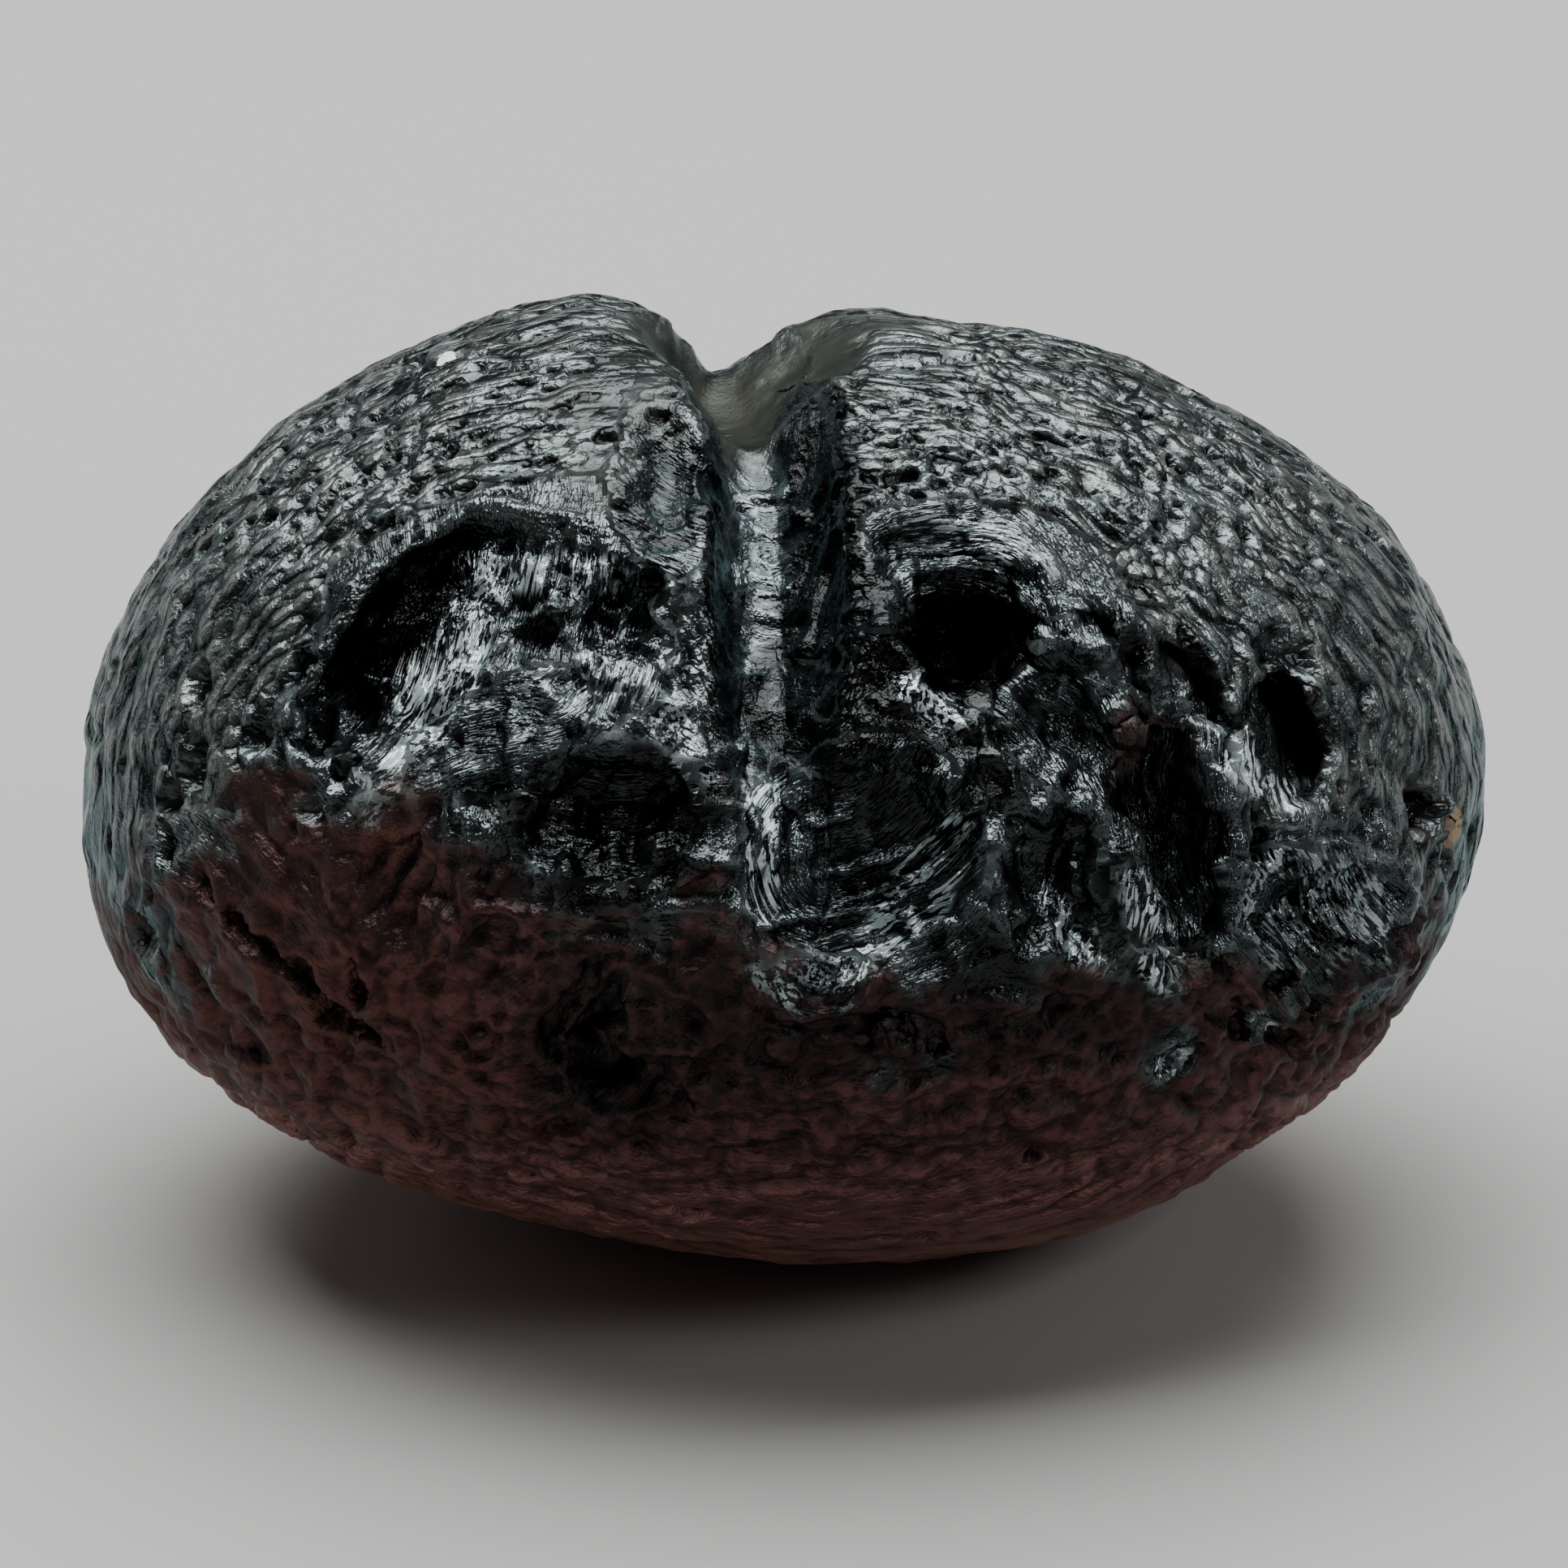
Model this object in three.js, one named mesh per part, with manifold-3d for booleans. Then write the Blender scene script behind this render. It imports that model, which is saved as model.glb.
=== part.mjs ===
// A tektite: one lump of black natural glass, 50 mm long, shaped like a coffee bean.
// A deep groove runs up its broad face, over the top and down the back. Wide scooped
// bowls and burst bubbles open into the face, and small dimples cover the rest.
// It lies on a worn flat spot. Millimetres, +Z up, origin on that spot under the middle
// of the stone.

import * as THREE from 'three';
import { mergeVertices } from 'three/addons/utils/BufferGeometryUtils.js';
import Module from 'manifold-3d';

// ---------------------------------------------------------------- driving dimensions

// The broad face looks out and up. u runs to the right along it, v up along it and w
// straight out of it, all from the middle of the stone.
const FACE_TILT = 25;        // degrees that the face looks up from level
const FACE_REACH = 18.5;     // middle of the stone to the crown of the face
const BACK_REACH = 18.5;     // middle of the stone to the crown of the back
const FACE_SHEAR = -0.1;     // how far the widest girth leans out per mm of v
const REST_DEPTH = 16.3;     // middle of the stone down to the flat spot

// Radius of the face's outline every 20 degrees, anticlockwise from the right end.
const OUTLINE_RADII = [
  24.9, 23.8, 20.8, 18.4, 17.3, 17.7, 19.6, 21.5, 23.8,
  25.0, 24.0, 20.6, 17.9, 16.9, 17.3, 18.6, 20.8, 23.4,
];

// Long low swells over the whole skin.
const SWELL_HEIGHT = 0.16;
const SWELL_LENGTH = 7.5;

// Facets: a sphere of 20 * (detail + 1)^2 triangles for each solid. The body's facets
// are crowded towards the face by this share.
const BODY_DETAIL = 17;
const FACE_CROWDING = 0.34;
const BOWL_DETAIL = 5;
const BUBBLE_DETAIL = 3;
const PIT_DETAIL = 1;

// The groove is cut twice: wide down the face, and narrow over the top and down the back.
// Each cut's floor is [u, angle round the stone from the face's crown, depth].
const FACE_GROOVE = [
  [0.6, -14, 0.6],
  [0.3, 4, 2.6],
  [0.2, 20, 3.5],
  [0.2, 36, 3.7],
  [0.0, 48, 3.0],
  [-0.2, 58, 1.4],
  [-0.3, 66, 0.0],
];
const TOP_GROOVE = [
  [-0.4, 30, 3.0],
  [-0.9, 44, 3.3],
  [-1.6, 59, 3.0],
  [-2.2, 75, 2.8],
  [-2.4, 92, 2.8],
  [-2.7, 112, 2.4],
  [-2.8, 134, 1.6],
  [-2.4, 156, 0.4],
];
const FACE_GROOVE_STEPS = 16;
const TOP_GROOVE_STEPS = 20;
const GROOVE_DEPTH = 3.7;    // from the mouth of a section to its floor
const GROOVE_RISE = 2.2;     // a section reaches this far above its mouth

// Everything on the face is a row of [u, v, width, length, depth, turn]: the place of its
// middle, its size along u and v before it is turned, its depth, and the turn in degrees.

// Wide scooped bowls.
const BOWLS = [
  [-9.6, 4.6, 15.2, 10.0, 3.3, 22],     // left of the groove
  [2.8, -3.4, 9.8, 9.2, 3.0, 0],        // at the groove's foot
];

// Burst bubbles with steep walls.
const BUBBLES = [
  [5.9, 4.9, 4.7, 4.7, 3.6, 0],         // the deepest one, right of the groove
  [13.6, -1.8, 3.9, 7.6, 2.8, 8],       // the long one
  [17.6, 1.8, 3.6, 4.0, 2.2, 22],       // on the right shoulder
  [-6.0, -1.1, 5.0, 4.4, 2.2, 0],       // under the left bowl
];

// Small pits with sharp edges.
const PITS = [
  [-15.3, 0.6, 1.4, 1.4, 0.9, 0],
  [-16.6, 2.2, 1.5, 2.4, 1.0, 10],
  [-20.4, 3.5, 1.6, 2.0, 0.9, 0],
  [-19.0, -4.7, 1.3, 3.0, 0.9, 44],
  [-15.2, -7.3, 1.8, 4.2, 1.3, 22],
  [15.4, 1.1, 1.2, 2.3, 0.9, 0],
  [16.3, -2.1, 1.6, 1.5, 0.9, 0],
  [22.2, -1.2, 1.5, 1.5, 0.8, 0],
  [21.3, -5.0, 2.8, 1.8, 1.0, 20],
  [3.8, -8.7, 1.9, 1.9, 1.0, 0],
  [13.7, -9.9, 1.4, 1.9, 0.8, 20],
];

// Dents with soft edges.
const DENTS = [
  [-1.1, 16.4, 8.8, 9.0, 1.3, 0],       // rounded shoulders of the groove at the top
  [-4.2, 10.6, 3.4, 7.0, 0.9, 8],       // scoop beside the groove
  [5.4, 8.4, 6.6, 3.6, 1.1, -14],       // hood over the deep bubble
  [9.6, 2.6, 5.8, 3.2, 1.3, -38],       // hollow under the ledge
  [9.4, -3.2, 3.8, 5.2, 1.5, 0],        // streaked hollow
  [17.4, 4.4, 3.2, 2.4, 0.7, -10],      // shell over the right bubble
  [13.0, 2.5, 3.4, 2.6, 1.0, -30],      // hollow over the ridge
  [-13.5, -3.2, 4.8, 5.4, 0.8, 0],      // worn facet
  [-7.0, -8.3, 2.6, 5.8, 1.2, -32],     // lower arch
  [-5.6, -10.4, 4.6, 2.8, 1.0, 6],      // hollow under the arch
  [17.9, -4.0, 4.8, 3.8, 0.9, -20],     // dented cluster at the right
  [-18.3, 1.4, 1.8, 1.8, 0.7, 0], [-16.9, 4.1, 1.8, 1.8, 0.7, 0], [-20.7, 0.7, 2.0, 1.8, 0.7, 0],
  [-20.8, -2.9, 1.6, 2.6, 0.7, 48], [-22.6, -5.1, 2.2, 2.4, 0.7, 0], [-7.5, 11.6, 2.6, 1.7, 0.5, -4],
  [-9.6, 9.9, 3.0, 1.7, 0.5, 4], [-11.9, 11.2, 2.8, 1.7, 0.5, 8], [-14.4, 8.9, 2.4, 1.8, 0.5, 24],
  [3.9, 12.9, 2.4, 1.7, 0.5, -6], [4.5, 10.8, 1.9, 1.7, 0.5, 0], [8.1, 12.1, 2.6, 1.7, 0.5, -24],
  [9.9, 9.4, 3.0, 1.7, 0.5, -34], [13.8, 9.9, 2.8, 1.7, 0.5, -30], [12.2, 6.5, 2.6, 1.7, 0.5, -40],
  [9.1, 5.5, 2.0, 1.8, 0.7, 0], [11.9, 4.7, 2.0, 1.8, 0.6, 0], [18.9, -2.4, 1.9, 1.8, 0.6, 0],
  [19.2, -6.1, 2.0, 1.8, 0.6, 20], [16.8, -6.2, 2.2, 1.8, 0.6, 24], [16.9, -9.2, 2.0, 1.8, 0.5, 0],
  [6.9, -8.6, 2.0, 1.9, 0.7, 0], [9.6, -7.4, 2.4, 1.8, 0.6, 10], [0.9, -8.0, 3.0, 1.8, 0.6, 0],
  [-2.8, -6.4, 1.8, 3.0, 0.7, 0], [-9.4, -5.2, 2.6, 2.0, 0.6, 30], [-11.2, -9.6, 2.0, 2.8, 0.6, 30],
];

// Ridges, with a height in place of the depth.
const RIDGES = [
  [11.2, 4.2, 1.6, 5.4, 0.6, 48],       // ledge running down to the right
  [11.6, -3.4, 1.6, 6.4, 0.5, 8],       // wall beside the long bubble
  [-1.4, -0.6, 1.6, 5.0, 0.4, 0],       // wall beside the groove's foot
  [2.2, -8.6, 5.0, 1.4, 0.5, 0],        // lip under the middle bowl
  [-12.6, -0.6, 6.0, 1.6, 0.5, 28],     // lip under the left bowl
];

// Hollows in the back and the ends: [angle round the stone, u, width, length, depth, turn].
const BACK_HOLLOWS = [
  [168, 11.5, 10.5, 7.4, 1.9, -20],
  [196, -7.0, 8.6, 7.0, 1.7, 16],
  [148, -12.5, 6.4, 4.8, 1.4, 30],
  [214, 9.5, 5.0, 4.0, 1.3, 0],
  [176, 1.5, 4.0, 5.0, 1.3, 12],
  [128, 13.5, 4.6, 3.4, 0.9, -30],
  [222, -14.5, 4.8, 3.8, 1.0, 24],
  [182, -17.5, 4.0, 3.6, 1.0, 0],
  [190, 19.0, 3.8, 3.4, 0.9, 0],
];

// Shallow dimples, spread evenly by the golden angle over the skin that looks less out of
// the face than FACE_EDGE and less down than FLAT_EDGE.
const DIMPLE_COUNT = 190;
const DIMPLE_SIZE = [3.9, 3.2];
const DIMPLE_DEPTH = 0.42;
const FACE_EDGE = 0.45;
const FLAT_EDGE = 0.93;

const DISH_SHARPNESS = 1.3;  // 1 gives a dent a sharp rim, 2 a soft one

const GLASS = { color: 0x14171a, roughness: 0.28, metalness: 0 };

// ---------------------------------------------------------------- the stone's skin

const RADIANS = Math.PI / 180;
const ACROSS = new THREE.Vector3(1, 0, 0);
const UP_FACE = new THREE.Vector3(0, Math.sin(FACE_TILT * RADIANS), Math.cos(FACE_TILT * RADIANS));
const OUT_OF_FACE = new THREE.Vector3(0, -Math.cos(FACE_TILT * RADIANS), Math.sin(FACE_TILT * RADIANS));

function fromFace(u, v, w) {
  return new THREE.Vector3()
    .addScaledVector(ACROSS, u)
    .addScaledVector(UP_FACE, v)
    .addScaledVector(OUT_OF_FACE, w);
}

// The outline's radius at an angle, as a closed cubic through OUTLINE_RADII.
function outlineRadius(angle) {
  const count = OUTLINE_RADII.length;
  const place = ((angle / (2 * Math.PI)) * count + count) % count;
  const step = Math.floor(place);
  const t = place - step;
  const [a, b, c, d] = [-1, 0, 1, 2].map((k) => OUTLINE_RADII[(step + k + count) % count]);
  return b + 0.5 * t * (c - a + t * (2 * a - 5 * b + 4 * c - d + t * (3 * (b - c) + d - a)));
}

// Where the skin lies along a direction from the middle of the stone.
function skinDistance(direction) {
  const u = direction.dot(ACROSS);
  const v = direction.dot(UP_FACE);
  const w = direction.dot(OUT_OF_FACE) - FACE_SHEAR * v;
  const girth = Math.hypot(u, v) / outlineRadius(Math.atan2(v, u));
  const reach = w / (w > 0 ? FACE_REACH : BACK_REACH);
  return 1 / Math.hypot(girth, reach);
}

function swell(point) {
  const turn = (2 * Math.PI) / SWELL_LENGTH;
  const along = Math.sin(turn * point.x) * Math.sin(turn * (0.8 * point.y + 0.5 * point.z));
  const aslant = Math.sin(turn * (0.6 * point.x + 0.7 * point.z) + 1) * Math.sin(turn * 0.9 * point.y);
  return SWELL_HEIGHT * (along + aslant);
}

function skinPoint(direction) {
  const point = direction.clone().setLength(skinDistance(direction));
  return point.setLength(point.length() + swell(point));
}

// The skin point at [u, v] of the face.
function onFace(u, v) {
  const girth = Math.hypot(u, v) / outlineRadius(Math.atan2(v, u));
  const w = FACE_SHEAR * v + FACE_REACH * Math.sqrt(Math.max(0.02, 1 - girth * girth));
  return fromFace(u, v, w);
}

// The skin point at u along the stone and an angle round it: 0 is the crown of the
// face, 90 the top and 180 the crown of the back.
function roundStone(u, angle) {
  const outward = fromFace(0, Math.sin(angle * RADIANS), Math.cos(angle * RADIANS));
  const foot = ACROSS.clone().multiplyScalar(u);
  let near = 0;
  let far = 2 * FACE_REACH;
  for (let halving = 0; halving < 40; halving++) {
    const middle = (near + far) / 2;
    const trial = foot.clone().addScaledVector(outward, middle);
    if (trial.length() < skinDistance(trial.clone().normalize())) near = middle;
    else far = middle;
  }
  return foot.addScaledVector(outward, near);
}

// The outward normal of the skin without its swells.
function skinNormal(point) {
  const step = 0.05;
  const depthAt = (p) => p.length() / skinDistance(p.clone().normalize());
  const slope = ['x', 'y', 'z'].map((axis) => {
    const ahead = point.clone();
    const behind = point.clone();
    ahead[axis] += step;
    behind[axis] -= step;
    return depthAt(ahead) - depthAt(behind);
  });
  return new THREE.Vector3(...slope).normalize();
}

// ---------------------------------------------------------------- solids

const wasm = await Module();
wasm.setup();

function withSharedCorners(geometry) {
  const bare = geometry.clone();
  bare.deleteAttribute('normal');
  bare.deleteAttribute('uv');
  return mergeVertices(bare, 1e-4);
}

function toSolid(geometry) {
  const merged = withSharedCorners(geometry);
  const solid = new wasm.Manifold(new wasm.Mesh({
    numProp: 3,
    vertProperties: new Float32Array(merged.attributes.position.array),
    triVerts: new Uint32Array(merged.index.array),
  }));
  if (solid.volume() <= 0) throw new Error('a solid is inside out');
  return solid;
}

function toGeometry(solid) {
  const mesh = solid.getMesh();
  const geometry = new THREE.BufferGeometry();
  geometry.setAttribute('position', new THREE.BufferAttribute(new Float32Array(mesh.vertProperties), 3));
  geometry.setIndex(new THREE.BufferAttribute(new Uint32Array(mesh.triVerts), 1));
  geometry.computeVertexNormals();
  return geometry;
}

// A frame on the skin: its normal, and two directions along the skin turned about it.
function frameAt(point, turn) {
  const normal = skinNormal(point);
  const along = ACROSS.clone().addScaledVector(normal, -ACROSS.dot(normal)).normalize();
  along.applyAxisAngle(normal, turn * RADIANS);
  const aside = new THREE.Vector3().crossVectors(normal, along);
  return { point, along, aside, normal };
}

// Soft relief: a dish that is pressed into the skin, or raised on it as a ridge.
function makeDent({ point, size, deep, turn }) {
  return { ...frameAt(point, turn), size, deep };
}

function faceDent([u, v, width, length, deep, turn]) {
  return makeDent({ point: onFace(u, v), size: [width, length], deep, turn });
}

function backDent([angle, u, width, length, deep, turn]) {
  return makeDent({ point: roundStone(u, angle), size: [width, length], deep, turn });
}

function makeDimples() {
  const goldenAngle = Math.PI * (3 - Math.sqrt(5));
  const dimples = [];
  for (let i = 0; i < DIMPLE_COUNT; i++) {
    const height = 1 - (2 * i + 1) / DIMPLE_COUNT;
    const girth = Math.sqrt(1 - height * height);
    const turn = goldenAngle * i;
    const direction = new THREE.Vector3(height, girth * Math.cos(turn), girth * Math.sin(turn));
    if (direction.dot(OUT_OF_FACE) > FACE_EDGE || direction.z < -FLAT_EDGE) continue;
    const grow = 1 + 0.3 * Math.sin(5 * i);
    dimples.push(makeDent({
      point: skinPoint(direction),
      size: DIMPLE_SIZE.map((side) => side * grow),
      deep: DIMPLE_DEPTH * grow,
      turn: 37 * i,
    }));
  }
  return dimples;
}

// How deep a dent is at a point of the skin.
function dentDepth(dent, point) {
  const offset = point.clone().sub(dent.point);
  if (offset.length() > Math.max(...dent.size)) return 0;
  const x = (2 * offset.dot(dent.along)) / dent.size[0];
  const y = (2 * offset.dot(dent.aside)) / dent.size[1];
  return dent.deep * Math.max(0, 1 - x * x - y * y) ** DISH_SHARPNESS;
}

function makeBody() {
  const geometry = withSharedCorners(new THREE.IcosahedronGeometry(1, BODY_DETAIL));
  const dents = [...DENTS.map(faceDent), ...BACK_HOLLOWS.map(backDent), ...makeDimples()];
  const ridges = RIDGES.map(faceDent);
  const places = geometry.attributes.position;
  const direction = new THREE.Vector3();
  for (let i = 0; i < places.count; i++) {
    direction.fromBufferAttribute(places, i).addScaledVector(OUT_OF_FACE, FACE_CROWDING);
    const point = skinPoint(direction.normalize());
    const depth = Math.max(...dents.map((dent) => dentDepth(dent, point)));
    const height = Math.max(...ridges.map((ridge) => dentDepth(ridge, point)));
    point.addScaledVector(direction, height - depth);
    places.setXYZ(i, point.x, point.y, point.z);
  }
  return toSolid(geometry);
}

// An ellipsoid sunk into the face. Its middle stands proud by a share of its depth, so
// that a small share gives steep walls and a large one a shallow dish.
function makeHollow([u, v, width, length, deep, turn], proud, detail) {
  const { point, along, aside, normal } = frameAt(onFace(u, v), turn);
  const widen = 1 / Math.sqrt(1 - (proud / (1 + proud)) ** 2);
  const geometry = new THREE.IcosahedronGeometry(1, detail);
  geometry.scale((width / 2) * widen, (length / 2) * widen, deep * (1 + proud));
  geometry.applyMatrix4(new THREE.Matrix4().makeBasis(along, aside, normal));
  const middle = point.clone().addScaledVector(normal, deep * proud);
  geometry.translate(middle.x, middle.y, middle.z);
  return toSolid(geometry);
}

// A groove's section has x to the left and y outward from the mouth. On the face one wall
// is steep, the floor is round and the other wall slopes back.
function faceGrooveSection() {
  const section = new THREE.Shape();
  section.moveTo(3.4, GROOVE_RISE);
  section.bezierCurveTo(2.9, 0.4, 2.7, -0.6, 2.5, -1.8);
  section.bezierCurveTo(2.4, -3.2, 1.9, -GROOVE_DEPTH, 1.1, -GROOVE_DEPTH);
  section.bezierCurveTo(-0.3, -GROOVE_DEPTH, -1.1, -2.4, -2.0, -1.4);
  section.bezierCurveTo(-2.6, -0.6, -3.2, 0.6, -3.8, GROOVE_RISE);
  section.closePath();
  return section;
}

// Over the top it is a rounded V.
function topGrooveSection() {
  const section = new THREE.Shape();
  section.moveTo(3.2, GROOVE_RISE);
  section.lineTo(1.2, -2.1);
  section.bezierCurveTo(0.8, -3.0, 0.5, -GROOVE_DEPTH, 0, -GROOVE_DEPTH);
  section.bezierCurveTo(-0.5, -GROOVE_DEPTH, -0.9, -2.8, -1.4, -2.1);
  section.lineTo(-4.6, GROOVE_RISE);
  section.closePath();
  return section;
}

function makeGroove(section, floor, steps) {
  const route = floor.map(([u, angle, depth]) => {
    const point = roundStone(u, angle);
    return point.addScaledVector(skinNormal(point), GROOVE_DEPTH - depth);
  });
  return toSolid(new THREE.ExtrudeGeometry(section, {
    steps,
    curveSegments: 4,
    extrudePath: new THREE.CatmullRomCurve3(route),
  }));
}

function makeHollows() {
  return [
    ...BOWLS.map((row) => makeHollow(row, 0.5, BOWL_DETAIL)),
    ...BUBBLES.map((row) => makeHollow(row, 0.25, BUBBLE_DETAIL)),
    ...PITS.map((row) => makeHollow(row, 0.2, PIT_DETAIL)),
  ];
}

// Everything below the flat spot is worn away.
function makeWear() {
  const side = 60;
  const block = new THREE.BoxGeometry(side, side, side);
  block.translate(0, 0, -REST_DEPTH - side / 2);
  return toSolid(block);
}

function makeTektite() {
  const cuts = [
    makeGroove(faceGrooveSection(), FACE_GROOVE, FACE_GROOVE_STEPS),
    makeGroove(topGrooveSection(), TOP_GROOVE, TOP_GROOVE_STEPS),
    ...makeHollows(),
    makeWear(),
  ];
  let solid = makeBody();
  for (const cut of cuts) solid = solid.subtract(cut);
  const geometry = toGeometry(solid);
  geometry.translate(0, 0, REST_DEPTH);
  const mesh = new THREE.Mesh(geometry, new THREE.MeshStandardMaterial(GLASS));
  mesh.name = 'tektite';
  return mesh;
}

const tektite = new THREE.Group();
tektite.add(makeTektite());

export default tektite;
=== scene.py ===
# %% [markdown]
# # A tektite on its frame
# A tektite is a splash of molten rock that froze to black glass as it flew. This one has the
# shape of a coffee bean: a deep groove over its broad face, bowls and burst bubbles where gas
# broke out, and a fine pitted skin. The packed solid gives its place and size. The lesson
# sculpts the same stone again, with the small relief that a solid for collision leaves out.

# %% Load the frame
import math

import bpy
import numpy as np
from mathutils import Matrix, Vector


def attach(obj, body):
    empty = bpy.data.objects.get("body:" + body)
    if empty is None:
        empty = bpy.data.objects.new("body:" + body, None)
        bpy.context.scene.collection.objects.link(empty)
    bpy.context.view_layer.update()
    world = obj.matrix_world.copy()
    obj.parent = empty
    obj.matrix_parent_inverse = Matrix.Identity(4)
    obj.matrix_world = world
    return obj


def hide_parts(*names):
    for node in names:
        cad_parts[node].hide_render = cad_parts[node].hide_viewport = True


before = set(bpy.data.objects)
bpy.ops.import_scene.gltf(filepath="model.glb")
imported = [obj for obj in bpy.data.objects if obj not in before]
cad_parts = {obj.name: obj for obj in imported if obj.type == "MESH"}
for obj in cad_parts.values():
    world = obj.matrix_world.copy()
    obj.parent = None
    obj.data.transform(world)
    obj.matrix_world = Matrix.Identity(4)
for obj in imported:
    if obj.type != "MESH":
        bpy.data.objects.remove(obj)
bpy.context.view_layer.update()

# %% [markdown]
# ## Directions and the plain bean
# The broad face looks out and 25 degrees up. u runs to the right along it, v up along it and
# w straight out of it, in millimetres from the middle of the stone. The bean under all the
# relief is a ball whose radius changes with the angle, so one formula gives it: the outline
# of the face in one table, and the same reach to the front and to the back.

# %% The bean
MM = 0.001
TILT = math.radians(25)
FACE_AXES = np.array([
    [1, 0, 0],
    [0, math.sin(TILT), math.cos(TILT)],
    [0, -math.cos(TILT), math.sin(TILT)],
])
REST_DEPTH = 16.3    # height of the middle over the floor, mm
REACH = 18.5         # from the middle out of the face and out of the back, mm
SHEAR = -0.1         # how far the crown moves out for each mm up along the face
# reach of the face's outline at every 20 degrees, from the right end round by the top, mm
OUTLINE = np.array([
    24.9, 23.8, 20.8, 18.4, 17.3, 17.7, 19.6, 21.5, 23.8,
    25.0, 24.0, 20.6, 17.9, 16.9, 17.3, 18.6, 20.8, 23.4,
])


def outline_radius(angle):
    """Radius of the face's outline at an angle, on a smooth closed curve."""
    place = (angle / (2 * np.pi) * len(OUTLINE)) % len(OUTLINE)
    step = np.floor(place).astype(int)
    t = place - step
    before, here, there, after = (OUTLINE[(step + k) % len(OUTLINE)] for k in (-1, 0, 1, 2))
    bend = 2 * before - 5 * here + 4 * there - after + t * (3 * (here - there) + after - before)
    return here + 0.5 * t * (there - before + t * bend)


def skin_share(u, v, w):
    """Distance from the middle as a share of the skin's distance in the same direction."""
    return np.hypot(np.hypot(u, v) / outline_radius(np.arctan2(v, u)), (w - SHEAR * v) / REACH)


def on_face(u, v):
    """The point of the plain skin that the face shows at u, v."""
    share = np.hypot(u, v) / outline_radius(np.arctan2(v, u))
    return np.array([u, v, SHEAR * v + REACH * math.sqrt(max(0.02, 1 - share**2))])


print("reach of the face at its crown, mm:", on_face(0, 0).round(2))

# %% [markdown]
# ## Places and directions on the bean
# Relief is placed in two ways. On the face a place is u and v. On the back it is u and an
# angle round the stone, and the distance is found by halving until the formula says skin. Each
# place has three directions of its own, along, aside and out, so that a long pit can be turned
# on the skin like a label.

# %% Places on the bean
def round_stone(u, angle):
    """The point of the plain skin at an angle round the stone from the face's crown."""
    turn = math.radians(angle)
    low, high = 0.0, 40.0    # mm from the middle: surely inside, surely outside
    for _ in range(40):
        middle = (low + high) / 2
        inside = skin_share(u, middle * math.sin(turn), middle * math.cos(turn)) < 1
        low, high = (middle, high) if inside else (low, middle)
    return np.array([u, low * math.sin(turn), low * math.cos(turn)])


def frame_at(point, turn):
    """Along, aside and out of the skin at a point, turned about the last in degrees."""
    step = 0.01
    out = np.array([
        skin_share(*(point + side)) - skin_share(*(point - side))
        for side in step * np.eye(3)
    ])
    out /= np.linalg.norm(out)
    along = np.array([1.0, 0, 0]) - out[0] * out
    along /= np.linalg.norm(along)
    aside = np.cross(out, along)
    c, s = math.cos(math.radians(turn)), math.sin(math.radians(turn))
    return np.array([c * along + s * aside, c * aside - s * along, out])


print("out of the top of the stone:", frame_at(round_stone(0, 65), 0)[2].round(2))

# %% [markdown]
# ## Noise
# Nothing on a natural stone is even, so noise shakes every edge and breaks up every slope. It
# is a table of random numbers, one for each point of a coarse lattice, with smooth values
# between them. Each use has a seed of its own, so every run makes the same stone.

# %% Noise and soft steps
NOISE_SIDE = 32      # points along each side of the table, past which it repeats
NOISE_SHIFT = 100    # keeps every place in the table above nought
CORNERS = [(a, b, c) for a in (0, 1) for b in (0, 1) for c in (0, 1)]


def cloud(u, v, w, length, seed):
    """Smooth noise from about -1 to 1, with bumps of about this length."""
    table = np.random.default_rng(seed).uniform(-1.5, 1.5, (NOISE_SIDE,) * 3)
    places = [np.asarray(x) / length + NOISE_SHIFT for x in (u, v, w)]
    lows = [np.floor(x).astype(int) for x in places]
    parts = [x - low for x, low in zip(places, lows)]
    parts = [t * t * (3 - 2 * t) for t in parts]
    total = 0
    for corner in CORNERS:
        weight = 1
        for t, side in zip(parts, corner):
            weight = weight * (t if side else 1 - t)
        cell = tuple((low + side) % NOISE_SIDE for low, side in zip(lows, corner))
        total = total + weight * table[cell]
    return total


def clouds(u, v, w, layers):
    """Layers of noise added up. Each is [height, length of its bumps, seed]."""
    return sum(height * cloud(u, v, w, length, seed) for height, length, seed in layers)


def soft_step(low, high, x):
    """Rises smoothly from 0 at low to 1 at high."""
    t = np.clip((x - low) / (high - low), 0, 1)
    return t * t * (3 - 2 * t)


print("noise along a line, every 1 mm:", cloud(np.arange(5), 0, 0, 2.0, 1).round(2))

# %% [markdown]
# ## Hollows with walls
# Gas broke out of the hot glass and left bowls and bubbles, some under an overhanging lip. A
# skin that is only pushed in can't hang over, so these are cut from a field instead: a number
# for each point of space, below nought inside the glass. An ellipsoid is taken out of it,
# leaned so that its deep end runs under the lip, and the two fields meet on a rounded rim.

# %% A hollow
RAGGED_LAYERS = ((2.6, 1.0), (1.1, 0.45))    # [length of the bumps in mm, share of the shake]
REACH_MARGIN = 1.5                           # room for the ragged edge, mm


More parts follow.
